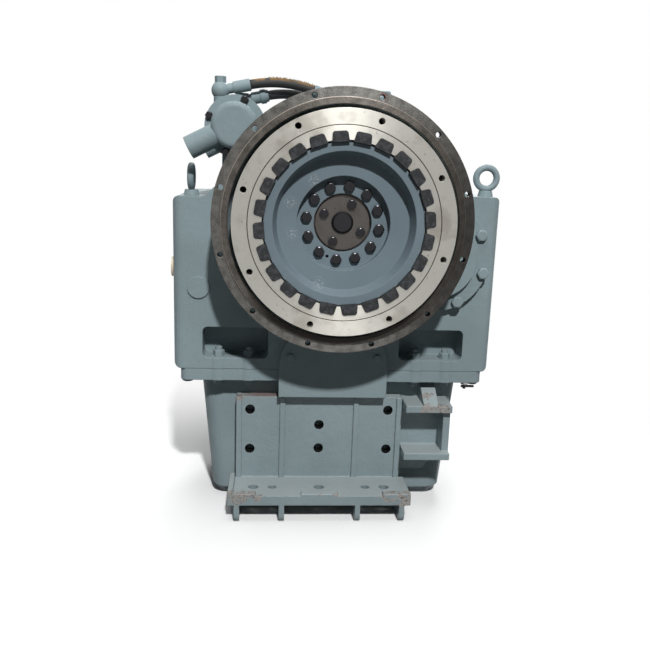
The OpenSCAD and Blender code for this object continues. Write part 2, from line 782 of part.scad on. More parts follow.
// Bell housing
module bell_housing() color(paint) difference() {
  pilot_in = bell_pilot_d / 2 - bell_pilot_w;
  union() {
    lathe_y() polygon([
      [bell_flange_d / 2, 0], [bell_flange_d / 2, bell_flange_t], [pilot_in + bell_wall, bell_flange_t],
      [bell_rear_d / 2, plate_y], [bell_rear_d / 2, bell_depth], [input_bearing_d / 2, bell_depth],
      [input_bearing_d / 2, plate_y], [bell_rear_d / 2 - bell_wall, plate_y], [pilot_in, bell_flange_t],
      [pilot_in, -bell_pilot_h], [bell_pilot_d / 2, -bell_pilot_h], [bell_pilot_d / 2, 0]]);
    at_axis(reverse_axis) {
      difference() {
        rod_y(2 * lobe_r, plate_y, bell_depth);
        at_axis(-reverse_axis) rod_y(bell_rear_d - bell_wall, plate_y - cut, bell_depth + cut);
      }
      rod_y(2 * lobe_boss_r, plate_y - lobe_boss_h, plate_y + cut);
    }
  }
  around_y(bell_bolt_n, bell_bolt_pcd, 180 / bell_bolt_n) rod_y(bell_hole_d, -cut, bell_flange_t + cut);
  bell_inner_places() hole_y(big_screw_d, plate_y - cut, bell_depth + cut);
  lobe_places() hole_y(big_screw_d, plate_y - cut, bell_depth + cut);
  input_cover_places() hole_y(small_screw_d, plate_y - cut, bell_depth + cut);
}
module bell_housing_bolts() color(paint) {
  bell_inner_places() screw_y(big_screw_d, big_screw_af, big_screw_h, plate_y, bell_plate_t + screw_grip);
  lobe_places() screw_y(big_screw_d, big_screw_af, big_screw_h, plate_y, bell_plate_t + screw_grip);
  input_cover_places() screw_y(small_screw_d, small_screw_af, small_screw_h, input_cover_y,
        input_cover_t + bell_plate_t - cut);
}
module input_front_cover() color(paint) difference() {
  seal_r = input_front_d / 2 + seal_h;
  clear_r = input_front_d / 2 + 2;
  spigot_r = input_bearing_d / 2 - fit_gap;
  lathe_y() polygon([
    [seal_r, input_cover_y], [input_cover_d / 2, input_cover_y], [input_cover_d / 2, plate_y],
    [spigot_r, plate_y], [spigot_r, bell_depth], [clear_r, bell_depth],
    [clear_r, input_cover_y + seal_w], [seal_r, input_cover_y + seal_w]]);
  input_cover_places() hole_y(small_screw_d, input_cover_y - cut, plate_y + cut);
}
module oil_seals() color(dark_steel) {
  tube_y(input_front_d + 2 * (seal_h - fit_gap), input_front_d + 2 * run_gap,
     input_cover_y, input_cover_y + seal_w);
  at_axis(output_axis)
    tube_y(output_mid_d + 2 * (seal_h - fit_gap), output_mid_d + 2 * run_gap,
        rear_cover_y - seal_w, rear_cover_y);
}

// Upper casing
function casing_outline() = [
  [-casing_half_w, split_z], [-casing_half_w, shoulder_left_z], [-hump_foot_x, shoulder_left_z],
  [-hump_knee_x, hump_knee_z], [-hump_waist_x, hump_waist_z], [-hump_top_x, hump_top_z],
  [hump_top_x, hump_top_z], [hump_waist_x, hump_waist_z], [hump_knee_x, hump_knee_z],
  [hump_foot_x, shoulder_right_z], [casing_half_w, shoulder_right_z], [casing_half_w, split_z]];
module casing_solid(y0, y1) prism_y(y0, y1) polygon(rounded(casing_outline(), casing_edge_r));
module bearing_bores(gap) {
  rod_y(input_bearing_d + gap, casing_y0 - cut, front_race_y1 + cut);
  at_axis(reverse_axis) rod_y(small_bearing_d + gap, casing_y0 - cut, front_race_y1 + cut);
  for (axis = [input_axis, reverse_axis])
    at_axis(axis) rod_y(small_bearing_d + gap, rear_race_y0 - cut, casing_y1 + cut);
  at_axis(output_axis) {
    rod_y(output_front_bearing_d + gap, casing_y0 - cut, sump_y0 + sump_wall + cut);
    rod_y(output_rear_bearing_d + gap, sump_y1 - sump_wall - cut, casing_y1 + cut);
  }
}
module bearing_bosses(wall) {
  rod_y(input_bearing_d + 2 * wall, casing_y0, front_race_y1);
  at_axis(reverse_axis) rod_y(small_bearing_d + 2 * wall, casing_y0, front_race_y1);
  for (axis = [input_axis, reverse_axis])
    at_axis(axis) rod_y(small_bearing_d + 2 * wall, rear_race_y0, casing_y1);
  at_axis(output_axis) {
    rod_y(output_front_bearing_d + 2 * wall, casing_y0, sump_y0);
    rod_y(output_rear_bearing_d + 2 * wall, sump_y1, casing_y1);
  }
}
module at_both_ends() {
  children();
  translate([0, casing_y0 + casing_y1, 0]) mirror([0, 1, 0]) children();
}
module casing_cavity() {
  in_y0 = casing_y0 + casing_end_wall;
  in_y1 = casing_y1 - casing_end_wall;
  in_w = casing_half_w - casing_wall;
  rim_w = casing_half_w - joint_rim_w;
  box(-in_w, in_w, in_y0, in_y1, split_z + joint_rim_h, shoulder_left_z - casing_wall);
  box(-rim_w, rim_w, in_y0, in_y1, split_z - cut, split_z + joint_rim_h + cut);
  for (axis = [input_axis, reverse_axis]) at_axis(axis) rod_y(2 * cavity_r, in_y0, in_y1);
}
module pocket_walls() at_both_ends() for (side = [-1, 1]) let (x = side * (pocket_x0 + pocket_x1) / 2)
  box(x - (pocket_x1 - pocket_x0) / 2 - pocket_wall, x + (pocket_x1 - pocket_x0) / 2 + pocket_wall,
    casing_y0, casing_y0 + pocket_depth + pocket_wall,
    split_z - 2 * cut, split_z + pocket_top_h + pocket_wall);
module pockets() at_both_ends() for (side = [0, 1]) mirror([side, 0, 0])
  prism_y(casing_y0 - 2 * stud_boss_r, casing_y0 + pocket_depth)
    polygon(rounded(box_outline(pocket_x0, split_z + pocket_floor_h,
        pocket_x1, split_z + pocket_top_h), pocket_r));
module joint_holes(z0, z1) {
  stud_places() rod_z(big_screw_d + 2 * fit_gap, z0 - cut, z1 + cut);
}
module upper_casing() color(paint) difference() {
  union() {
    intersection() {
      casing_solid(casing_y0, casing_y1);
      translate([0, 0, split_z - cut]) linear_extrude(hump_top_z - split_z + 2 * cut)
        polygon(rounded(box_outline(-casing_half_w, casing_y0, casing_half_w, casing_y1), casing_corner_r));
    }
    stud_places() rod_z(2 * stud_boss_r, split_z, split_z + pocket_floor_h);
  }
  difference() {
    casing_cavity();
    bearing_bosses(bearing_boss_wall);
    pocket_walls();
  }
  bearing_bores(2 * fit_gap);
  pockets();
  joint_holes(split_z, split_z + pocket_floor_h);
  joint_bolt_places() rod_z(big_screw_d + 2 * fit_gap, split_z - cut, split_z + joint_rim_h - 4);
  bell_inner_places() hole_y(big_screw_d, casing_y0 - cut, casing_y0 + screw_grip + cut);
  lobe_places() hole_y(big_screw_d, casing_y0 - cut, casing_y0 + screw_grip + cut);
  output_cover_places() hole_y(small_screw_d, casing_y0 - cut, casing_y0 + screw_grip + cut);
  for (axis = [input_axis, reverse_axis])
    small_cover_places(axis) hole_y(small_screw_d, casing_y1 - screw_grip - cut, casing_y1 + cut);
  rear_cover_places() hole_y(small_screw_d, casing_y1 - screw_grip - cut, casing_y1 + cut);
  inspection_places() rod_z(small_screw_d + 2 * fit_gap, hump_top_z - screw_grip - cut, hump_top_z + cut);
  box(-inspection_w / 2 + 28, inspection_w / 2 - 28, inspection_y0 + 28, inspection_y0 + inspection_len - 28,
    cavity_r - 40, hump_top_z + cut);
  translate([-eye_left_x, casing_y0 + eye_y, 0])
    rod_z(eye_thread_d + 2 * fit_gap, shoulder_left_z - 2 * eye_thread_d - cut, shoulder_left_z + cut);
  translate([eye_right_x, casing_y0 + eye_y, 0])
    rod_z(eye_thread_d + 2 * fit_gap, shoulder_right_z - 2 * eye_thread_d - cut, shoulder_right_z + cut);
  translate([-plug_x, 0, -plug_drop]) rod_y(plug_d - 10, casing_y0 - cut, casing_y0 + casing_end_wall / 2);
  translate([0, casing_y0 + sight_y, -sight_drop])
    rod_x(sight_d - 12, -casing_half_w - cut, -casing_half_w + casing_wall + cut);
}

// Lower casing
module front_pad(y0, y1)
  box(-output_cover_d / 2, output_cover_d / 2, y0, y1, split_z - output_cover_drop, split_z);
module sump_corners(half_w, r, z, h) for (side = [-1, 1],
  y = [sump_y0 + sump_corner_r, sump_y1 - sump_corner_r])
  translate([side * (half_w - sump_corner_r), y, z]) cylinder(r = r, h = h, $fn = 32);
module sump_shell() hull() {
  sump_corners(sump_top_half_w, sump_corner_r, flange_z, cut);
  sump_corners(sump_low_half_w, sump_corner_r, base_z + sump_chamfer, cut);
  sump_corners(sump_low_half_w, sump_corner_r - sump_chamfer, base_z, cut);
}
module sump_cavity() prism_y(sump_y0 + sump_wall, sump_y1 - sump_wall) let (
  top = sump_top_half_w - sump_wall - 2, low = sump_low_half_w - sump_wall, floor_z = base_z + sump_wall)
  polygon([[-top, split_z + cut], [top, split_z + cut], [top, flange_z], [low, floor_z + sump_chamfer],
      [low - sump_chamfer, floor_z], [sump_chamfer - low, floor_z], [-low, floor_z + sump_chamfer],
      [-top, flange_z]]);
module lower_casing() color(paint) difference() {
  union() {
    translate([0, 0, flange_z]) linear_extrude(sump_flange_t)
      polygon(rounded(box_outline(-sump_flange_half_w, casing_y0,
        sump_flange_half_w, casing_y1), sump_flange_r));
    stud_places() rod_z(2 * stud_boss_r, flange_z, split_z);
    sump_shell();
    intersection() {
      at_axis(output_axis) rod_y(rear_cover_d, sump_y1 - sump_wall / 2, casing_y1);
      box(-casing_half_w, casing_half_w, casing_y0, casing_y1, base_z, split_z);
    }
    front_pad(casing_y0, sump_y0 + sump_wall / 2);
  }
  sump_cavity();
  bearing_bores(2 * fit_gap);
  joint_holes(flange_z, split_z);
  joint_bolt_places() rod_z(big_screw_d + 2 * fit_gap, flange_z - cut, split_z + cut);
  rear_cover_places() hole_y(small_screw_d, casing_y1 - screw_grip - cut, casing_y1 + cut);
  translate([0, 0, base_z + drain_z]) rod_y(drain_d + 2 * fit_gap, sump_y1 - sump_wall - cut, sump_y1 + cut);
  translate([cock_x, casing_y0 + cock_y, 0])
    rod_z(cock_d - 6 + 2 * fit_gap, flange_z - cut, flange_z + sump_flange_t / 2 + cut);
}
module casing_joint_studs() color(paint) stud_places() {
  rod_z(big_screw_d, flange_z - big_screw_h - 8, split_z + pocket_floor_h + big_screw_h + 12);
  hex_z(big_screw_af, split_z + pocket_floor_h, split_z + pocket_floor_h + big_screw_h + 4);
  hex_z(big_screw_af, flange_z - big_screw_h - 4, flange_z);
}
module casing_joint_bolts() color(paint) joint_bolt_places() {
  hex_z(big_screw_af, flange_z - big_screw_h, flange_z);
  rod_z(big_screw_d, flange_z - 0.01, split_z + joint_rim_h - 5);
}

// Covers on the casing
module output_front_cover() color(paint) difference() {
  union() {
    front_pad(output_cover_y, casing_y0);
    intersection() {
      at_axis(output_axis) rod_y(output_cover_d, output_cover_y, casing_y0);
      box(-output_cover_d, output_cover_d, output_cover_y - cut, casing_y0 + cut, split_z, 0);
    }
  }
  output_cover_places() hole_y(small_screw_d, output_cover_y - cut, casing_y0 + cut);
}
module small_screw_front(y)
  screw_y(small_screw_d, small_screw_af, small_screw_h, y, casing_y0 - y + screw_grip);
module small_screw_rear(y)
  screw_back(small_screw_d, small_screw_af, small_screw_h, y, y - casing_y1 + screw_grip);
module cover_bolts() color(paint) {
  output_cover_places() small_screw_front(output_cover_y);
  for (axis = [input_axis, reverse_axis])
    small_cover_places(axis) small_screw_rear(casing_y1 + small_cover_t);
  rear_cover_places() small_screw_rear(rear_cover_y);
  inspection_places() {
    hex_z(small_screw_af, hump_top_z + inspection_t, hump_top_z + inspection_t + small_screw_h);
    rod_z(small_screw_d, hump_top_z - screw_grip, hump_top_z + inspection_t + 0.01);
  }
}
module input_rear_cover() color(paint) difference() {
  union() {
    rod_y(small_cover_d, casing_y1, casing_y1 + small_cover_t);
    rod_y(small_bearing_d - 40, casing_y1, casing_y1 + 2 * small_cover_t);
  }
  small_cover_places(input_axis) hole_y(small_screw_d, casing_y1 - cut, casing_y1 + small_cover_t + cut);
}
module oil_pump() color(paint) difference() {
  port_y = casing_y1 + small_cover_t + (pump_len - small_cover_t) / 2;
  port_d = pump_len / 2;
  at_axis(reverse_axis) {
    rod_y(small_cover_d, casing_y1, casing_y1 + small_cover_t);
    rod_y(2 * pump_r, casing_y1, casing_y1 + pump_len);
    rod_y(pump_r, casing_y1, casing_y1 + pump_len + small_cover_t);
    translate([0, port_y, 0]) rod_x(port_d, -pump_r - small_cover_t, pump_r + small_cover_t);
  }
  small_cover_places(reverse_axis) hole_y(small_screw_d, casing_y1 - cut, casing_y1 + small_cover_t + cut);
  small_cover_places(reverse_axis)
    rod_y(1.5 * small_screw_af, casing_y1 + small_cover_t, casing_y1 + pump_len + cut);
}
module output_rear_cover() color(paint) at_axis(output_axis) difference() {
  seal_r = output_mid_d / 2 + seal_h;
  clear_r = output_mid_d / 2 + 2;
  lathe_y() polygon([
    [clear_r, casing_y1], [rear_cover_d / 2, casing_y1], [rear_cover_d / 2, rear_cover_y],
    [seal_r, rear_cover_y], [seal_r, rear_cover_y - seal_w], [clear_r, rear_cover_y - seal_w]]);
  at_axis(-output_axis) rear_cover_places() hole_y(small_screw_d, casing_y1 - cut, rear_cover_y + cut);
}
module inspection_cover() color(paint) difference() {
  translate([0, 0, hump_top_z]) linear_extrude(inspection_t)
    polygon(rounded(box_outline(-inspection_w / 2, inspection_y0, inspection_w / 2,
        inspection_y0 + inspection_len), 12));
  inspection_places() rod_z(small_screw_d + 2 * fit_gap, hump_top_z - cut, hump_top_z + inspection_t + cut);
}
module breather() color(paint) translate([0, inspection_y0 + inspection_len / 2, hump_top_z + inspection_t])
  rotate_extrude() polygon([[0, 0], [14, 0], [14, 12], [24, 12], [24, 24], [18, 30], [0, 30]]);

// Control valve, oil filter and oil pump side
valve_y0 = casing_y0 + valve_y;
valve_x1 = valve_x0 + valve_w;
spindle_y = valve_y0 + valve_len / 2;
spindle_z = hump_top_z + valve_h / 2;
module control_valve() color(paint) {
  difference() {
    prism_y(valve_y0, valve_y0 + valve_len)
      polygon(rounded(box_outline(valve_x0, hump_top_z, valve_x1, hump_top_z + valve_h), 6));
    translate([0, 0, hump_top_z + valve_h - 14])
      box(valve_x0 + 40, valve_x1 + cut, valve_y0 - cut, valve_y0 + 40, 0, 14 + cut);
  }
  translate([0, spindle_y, spindle_z]) {
    rod_x(spindle_d, valve_x1 - cut, valve_x1 + spindle_len);
    rod_x(2 * spindle_d, valve_x1 - cut, valve_x1 + 8);
  }
  for (x = [0.3, 0.7] * valve_w) translate([valve_x0 + x, 0, hump_top_z + valve_h / 3])
    rod_y(34, valve_y0 + valve_len - cut, valve_y0 + valve_len + 14);
}
module control_lever() color(steel) translate([valve_x1 + 10, spindle_y, spindle_z]) difference() {
  union() {
    rod_x(2 * spindle_d, 0, 2 * lever_t);
    box(lever_t / 2, 1.5 * lever_t, 0, lever_len, -spindle_d / 2, spindle_d / 2);
    translate([0, lever_len, 0]) rod_x(spindle_d, lever_t / 2, 1.5 * lever_t);
  }
  rod_x(spindle_d + 2 * run_gap, -cut, 2 * lever_t + cut);
  translate([0, lever_len, 0]) rod_x(spindle_d / 2, -cut, 2 * lever_t + cut);
}
filter_y = casing_y1 + filter_reach;
module oil_filter_head() color(paint) translate([-filter_x, 0, -filter_drop]) {
  box(-filter_d / 2, filter_d / 2, casing_y1, filter_y, 0, filter_head_h);
  translate([0, filter_y, 0]) rod_z(1.08 * filter_d, 0, filter_head_h);
}
module oil_filter_bowl() color(paint)
  translate([-filter_x, filter_y, -filter_drop]) rotate([180, 0, 0]) rotate_extrude()
  polygon([[0, 0], [filter_d / 2, 0], [filter_d / 2, 0.82 * filter_len],
    [0.37 * filter_d, 0.92 * filter_len], [0.13 * filter_d, 0.92 * filter_len],
    [0.13 * filter_d, filter_len], [0, filter_len]]);

// Oil cooler
module cooler_places(y) at_axis([-cooler_x, cooler_z]) translate([0, y, 0]) children();
module cooler_bolt_places() at_axis([-cooler_x, cooler_z]) around_y(4, cooler_pcd, cooler_phase) children();
module cooler_shell() color(paint) difference() {
  at_axis([-cooler_x, cooler_z]) {
    rod_y(cooler_d, cooler_y0, cooler_y1);
    rod_y(cooler_flange_d, cooler_y0, cooler_y0 + cooler_flange_t);
    rod_y(cooler_flange_d, cooler_y1 - cooler_flange_t, cooler_y1);
  }
  cooler_bolt_places() {
    hole_y(small_screw_d, cooler_y0 - cut, cooler_y0 + cooler_flange_t + cut);
    hole_y(small_screw_d, cooler_y1 - cooler_flange_t - cut, cooler_y1 + cut);
  }
}
module cooler_cap(angle) difference() {
  r = cooler_cap_d / 2;
  drum = cooler_flange_t + cooler_cap_len;
  union() {
    lathe_y() polygon(concat(
      [[0, 0], [cooler_flange_d / 2, 0], [cooler_flange_d / 2, cooler_flange_t], [r, cooler_flange_t]],
      [for (i = [0:5]) [r - cooler_cap_r * (1 - cos(18 * i)), drum - cooler_cap_r * (1 - sin(18 * i))]],
      [[0, drum]]));
    translate([0, drum - stub_d / 2 - 2, 0]) rotate([0, -angle, 0]) rod_x(stub_d, 0, stub_reach);
  }
  translate([0, drum - stub_d / 2 - 2, 0]) rotate([0, -angle, 0])
    rod_x(stub_bore_d, r / 2, stub_reach + cut);
  around_y(4, cooler_pcd, cooler_phase) hole_y(small_screw_d, -cut, cooler_flange_t + cut);
}
module cooler_front_cap() color(paint) cooler_places(cooler_y0) mirror([0, 1, 0]) cooler_cap(stub_angle);
module cooler_rear_cap() color(paint) cooler_places(cooler_y1) cooler_cap(stub_angle);
module cooler_cap_bolts() color(paint) cooler_bolt_places() {
  screw_y(small_screw_d, small_screw_af, small_screw_h, cooler_y0 - cooler_flange_t, 2 * cooler_flange_t);
  screw_back(small_screw_d, small_screw_af, small_screw_h, cooler_y1 + cooler_flange_t, 2 * cooler_flange_t);
}
module cooler_saddles() color(paint)
  for (y = [cooler_y0 + 3 * saddle_w, cooler_y1 - 3 * saddle_w]) difference() {
  box(-cooler_x - saddle_half, -cooler_x + saddle_half, y - saddle_w / 2, y + saddle_w / 2,
    shoulder_left_z, cooler_z - cooler_d / 4);
  casing_solid(y - saddle_w, y + saddle_w);
  at_axis([-cooler_x, cooler_z]) rod_y(cooler_d + 2 * fit_gap, y - saddle_w, y + saddle_w);
}

// Hoses: each is one arc from its cooler fitting to valve
function port(z) = [valve_x0, z];
function heading(a) = [cos(a), sin(a)];
function hose_end(z) = port(z) - ferrule_len * heading(-hose_drop);
function hose_centre(z, r) = hose_end(z) + r * [-sin(hose_drop), -cos(hose_drop)];
function hose_start(z, r) = hose_centre(z, r) + r * [-sin(hose_rise), cos(hose_rise)];
module at_point(p, y) translate([p[0], y, p[1]]) children();
module along(p, y, a) at_point(p, y) rotate([0, -a, 0]) children();
module hose(z, r, y) at_point(hose_centre(z, r), y) rotate([90, 0, 0]) rotate([0, 0, 90 - hose_drop])
  rotate_extrude(angle = hose_turn) translate([r, 0]) circle(d = hose_d);
module upper_hose() color(rubber) hose(upper_port_z, upper_hose_r, upper_y);
module lower_hose() color(rubber) hose(lower_port_z, lower_hose_r, lower_y);
module valve_ferrule(z, y) difference() {
  along(hose_end(z), y, -hose_drop) rod_x(ferrule_d, 0, ferrule_len + ferrule_d);
  box(valve_x0, valve_x1, valve_y0, valve_y0 + valve_len, hump_top_z, hump_top_z + valve_h);
}
module cooler_ferrule(z, r, y) along(hose_start(z, r), y, hose_rise) rod_x(ferrule_d, -ferrule_len, 0);
module hose_ferrules() color(paint) {
  valve_ferrule(upper_port_z, upper_y);
  valve_ferrule(lower_port_z, lower_y);
  cooler_ferrule(upper_port_z, upper_hose_r, upper_y);
  cooler_ferrule(lower_port_z, lower_hose_r, lower_y);
}
function ferrule_back(z, r) = hose_start(z, r) - ferrule_len * heading(hose_rise);
function ball_centre() = ferrule_back(upper_port_z, upper_hose_r) - 1.5 * ball_r * heading(hose_rise);
module cooler_oil_fittings() color(paint) difference() {
  union() {
    at_point(ball_centre(), upper_y) {
      sphere(r = ball_r);
      rod_z(1.5 * ball_r, -2.5 * ball_r, 0);
      hex_z(1.1 * ball_r, 0, 1.5 * ball_r);
    }
    along(ball_centre(), upper_y, hose_rise) rod_x(pipe_d, 0, 1.5 * ball_r);
    along(ferrule_back(lower_port_z, lower_hose_r), lower_y, hose_rise) rod_x(pipe_d, -pipe_d, 0);
    at_point(ferrule_back(lower_port_z, lower_hose_r) - pipe_d * heading(hose_rise), lower_y)
      rod_z(1.3 * pipe_d, -pipe_d, 0.7 * pipe_d);
  }
  at_axis([-cooler_x, cooler_z]) rod_y(cooler_d + 2 * fit_gap, cooler_y0, cooler_y1);
}
module hose_clamp() color(steel)
  along(hose_start(lower_port_z, lower_hose_r), lower_y, hose_rise) difference() {
  rod_x(ferrule_d + 5, -18, -6);
  rod_x(ferrule_d + 2 * fit_gap, -18 - cut, -6 + cut);
}

// Small fittings
module lifting_eye() {
  rotate([90, 0, 0]) translate([0, eye_collar_h + eye_d / 2 - 3, 0]) rotate_extrude()
    translate([eye_d / 2 - eye_bar_d / 2, 0]) circle(d = eye_bar_d);
  cylinder(d1 = eye_collar_d, d2 = eye_collar_d - 6, h = eye_collar_h);
  rod_z(eye_thread_d, -2 * eye_thread_d, cut);
}
module lifting_eye_left() color(paint) translate([-eye_left_x, casing_y0 + eye_y, shoulder_left_z])
  rotate([0, 0, 90]) lifting_eye();
module lifting_eye_right() color(paint)
  translate([eye_right_x, casing_y0 + eye_y, shoulder_right_z]) lifting_eye();
module core_plug() color(paint) translate([-plug_x, 0, -plug_drop]) {
  rod_y(plug_d, casing_y0 - plug_h, casing_y0);
  rod_y(plug_d - 10 - 2 * fit_gap, casing_y0 - cut, casing_y0 + casing_end_wall / 2 - cut);
}
module sight_glass() color(steel) translate([0, casing_y0 + sight_y, -sight_drop]) {
  rod_x(sight_d, -casing_half_w - sight_h, -casing_half_w);
  rod_x(sight_d - 12 - 2 * fit_gap, -casing_half_w - cut, -casing_half_w + casing_wall);
}
module drain_plug() color(dark_steel) translate([0, 0, base_z + drain_z]) {
  rod_y(drain_d, sump_y1 - sump_wall, sump_y1 + cut);
  rod_y(1.5 * drain_d, sump_y1, sump_y1 + 6);
  hex_y(drain_d, sump_y1 + 5, sump_y1 + 20);
}
module drain_cock() color(steel) translate([cock_x, casing_y0 + cock_y, 0]) difference() {
  union() {
    rod_z(cock_d, flange_z - cock_len, flange_z);
    rod_z(cock_d - 6, flange_z - cut, flange_z + sump_flange_t / 2);
  }
  rod_z(cock_stem_d + 2 * run_gap, flange_z - cock_len - cut, flange_z - cock_len / 3);
}
module drain_cock_handle() color(dark_steel) translate([cock_x, casing_y0 + cock_y, 0]) {
  rod_z(cock_stem_d, flange_z - cock_len - cock_stem_d - 4, flange_z - cock_len / 3 - cut);
  translate([0, 0, flange_z - cock_len - 0.5 * cock_stem_d - 2])
    rod_x(0.8 * cock_stem_d, -cock_bar_len / 4, 0.75 * cock_bar_len);
}

// Brackets
module prism_x(x0, x1) translate([x0, 0, 0]) rotate([90, 0, 90]) linear_extrude(x1 - x0) children();
module bracket_fin(x) prism_x(x - bracket_rib_w / 2, x + bracket_rib_w / 2) polygon(concat(
  [[bracket_y0 + cut, foot_z0 + cut], [foot_y0, foot_z0 + cut]],
  [for (i = [0:6]) [foot_y0 + 16 * (1 - cos(15 * i)), base_z + 16 * (1 - sin(15 * i))]],
  [[bracket_y0 + cut, base_z]]));
module foot_pad(x0, x1) box(x0, x1, foot_y0, foot_y0 + foot_pad_len, foot_z1 - cut, foot_z1 + foot_pad_h);
module front_bracket() color(paint) translate([-bracket_x, 0, 0]) difference() {
  edge = bracket_half_w - bracket_rib_w / 2;
  union() {
    box(-bracket_half_w, bracket_half_w, bracket_y0, sump_y0, foot_z0, bracket_z1);
    box(-bracket_foot_half_w, bracket_foot_half_w, foot_y0, bracket_y0 + cut, foot_z0, foot_z1);
    for (x = [-edge, -bracket_rib_x, bracket_rib_x, edge]) {
      box(x - bracket_rib_w / 2, x + bracket_rib_w / 2, bracket_y0 - bracket_rib_h, bracket_y0 + cut,
        foot_z1 - cut, bracket_z1);
      bracket_fin(x);
    }
    foot_pad(-bracket_foot_half_w + 12, -bracket_foot_half_w + 64);
    foot_pad(-44, 42);
    foot_pad(bracket_foot_half_w - 66, bracket_foot_half_w);
    box(-bracket_foot_half_w, -bracket_foot_half_w + 12, foot_y0, bracket_y0,
        foot_z1 - cut, foot_z1 + 2 * foot_pad_h);
  }
  for (x = [-1, 1] * bracket_hole_x, z = [bracket_hole_z0, bracket_hole_z1])
    translate([x, 0, bracket_z1 - z]) rod_y(bracket_hole_d, bracket_y0 - cut, sump_y0 + cut);
  for (z = [bracket_mid_z0, bracket_mid_z1])
    translate([0, 0, bracket_z1 - z]) rod_y(bracket_hole_d, bracket_y0 - cut, sump_y0 + cut);
  for (x = [-foot_hole_x, 0, foot_hole_x])
    translate([x, bracket_y0 - foot_hole_y, 0]) rod_z(foot_hole_d, foot_z0 - cut, foot_z1 + cut);
  for (x = [-1, 1] * foot_small_x)
    translate([x, bracket_y0 - foot_hole_y, 0]) rod_z(foot_small_d, foot_z0 - cut, foot_z1 + cut);
}
module side_bracket() color(paint) {
  panel_y = sump_y0 - side_panel_t;
  fin_y = sump_y0 - side_fin_len;
  top_z = split_z - side_fin_z0;
  low_z = split_z - side_fin_z1 - side_fin_t;
  lug_z = split_z - side_lug_z;
  box(side_x0, side_x1, panel_y, sump_y0, low_z, top_z);
  box(side_x0, side_x1, fin_y, sump_y0, top_z - side_fin_t, top_z);
  box(side_x0, side_x1, fin_y, sump_y0, low_z, low_z + side_fin_t);
  box(side_x1 - side_fin_t, side_x1, fin_y + side_fin_t, sump_y0, low_z, top_z);
  prism_x(side_x0 + 42, side_x0 + 78)
    polygon([[fin_y, top_z - cut], [sump_y0, top_z - cut], [sump_y0, lug_z],
        [panel_y, lug_z], [fin_y + side_fin_t, top_z + side_fin_t / 2]]);
  prism_y(panel_y, sump_y0) polygon([[side_x0, low_z + cut], [side_x1 - side_fin_t, low_z + cut],
        [side_x1 - 3 * side_fin_t, split_z - side_low_z], [side_x0, split_z - side_low_z]]);
}

// Input coupling
function block_outline(g, in) = [
  [block_r0 - g - in, -block_w0 / 2 - g], [block_r1 + g - block_cut, -block_w1 / 2 - g - 0.4],
  [block_r1 + g, -block_w1 / 2 - g + block_cut], [block_r1 + g, block_w1 / 2 + g - block_cut],
  [block_r1 + g - block_cut, block_w1 / 2 + g + 0.4], [block_r0 - g - in, block_w0 / 2 + g]];
module block_prisms(g, in, y0, y1) for (i = [0:block_n - 1])
  rotate([0, -block_phase - 360 * i / block_n, 0]) prism_y(y0, y1) polygon(block_outline(g, in));
ring_back = ring_t - ring_front;
module drive_ring() color(steel) difference() {
  rod_y(ring_d, -ring_front, ring_back);
  rod_y(2 * ring_tip_r, -ring_front - cut, ring_back + cut);
  block_prisms(block_gap, 2, -ring_front - cut, ring_back + cut);
  around_y(ring_bolt_n, ring_bolt_pcd, ring_phase) rod_y(ring_hole_d, -ring_front - cut, ring_back + cut);
  tube_y(ring_groove_d + ring_groove_w, ring_groove_d - ring_groove_w,
        -ring_front - cut, -ring_front + ring_groove_depth);
}
module rubber_blocks() color(rubber) block_prisms(0, 0, -ring_front - block_proud, ring_back);
module coupling_spider() color(paint) difference() {
  rim_back = spider_rim_len - spider_front;
  web_back = spider_web_y + spider_web_t;
  cup_r = spider_recess_d / 2 + spider_web_t;
  lathe_y() polygon([
    [spider_bore_d / 2, spider_floor_y], [spider_recess_d / 2, spider_floor_y],
    [spider_recess_d / 2, spider_web_y],
    [spider_web_d / 2, spider_web_y], [spider_rim_in_d / 2, -spider_front], [spider_d / 2, -spider_front],
    [spider_d / 2, rim_back], [spider_rim_in_d / 2, rim_back], [spider_web_d / 2, web_back],
    [cup_r, web_back], [cup_r, spider_back], [spider_bore_d / 2, spider_back]]);
  block_prisms(block_gap, 0, -ring_front - cut, ring_back + 2 * cut);
  around_y(spider_bolt_n, spider_pcd, spider_phase)
    hole_y(spider_screw_d, spider_floor_y - cut, spider_back + cut);
  rotate([0, -spider_phase - 225, 0]) translate([spider_pcd / 2, 0, 0])
    rod_y(spider_screw_d / 2, spider_floor_y - cut, spider_back + cut);
}
module spider_bolts() color(dark_steel) around_y(spider_bolt_n, spider_pcd, spider_phase)
  screw_y(spider_screw_d, spider_screw_af, spider_screw_h, spider_floor_y, spider_web_t + hub_flange_t);
module coupling_hub() color(brown_steel) difference() {
  bore_r = input_front_d / 2 + fit_gap;
  lathe_y() polygon([
    [bore_r, hub_front], [spider_bore_d / 2 - fit_gap, hub_front],
    [spider_bore_d / 2 - fit_gap, spider_back],
    [hub_flange_d / 2, spider_back], [hub_flange_d / 2, spider_back + hub_flange_t],
    [hub_neck_d / 2, spider_back + hub_flange_t], [hub_neck_d / 2, hub_back], [bore_r, hub_back]]);
  around_y(spider_bolt_n, spider_pcd, spider_phase)
    hole_y(spider_screw_d, spider_back - cut, spider_back + hub_flange_t + cut);
}
module shaft_end_plate() color(brown_steel) difference() {
  boss_y = plate_front - end_boss_h;
  lathe_y() polygon([
    [0, boss_y], [end_boss_d / 2 - end_boss_cut, boss_y], [end_boss_d / 2, boss_y + end_boss_cut],
    [end_boss_d / 2, plate_front], [end_plate_d / 2, plate_front],
    [end_plate_d / 2, hub_front], [0, hub_front]]);
  around_y(4, end_plate_pcd, end_plate_phase) hole_y(end_screw_d, plate_front - cut, hub_front + cut);
}
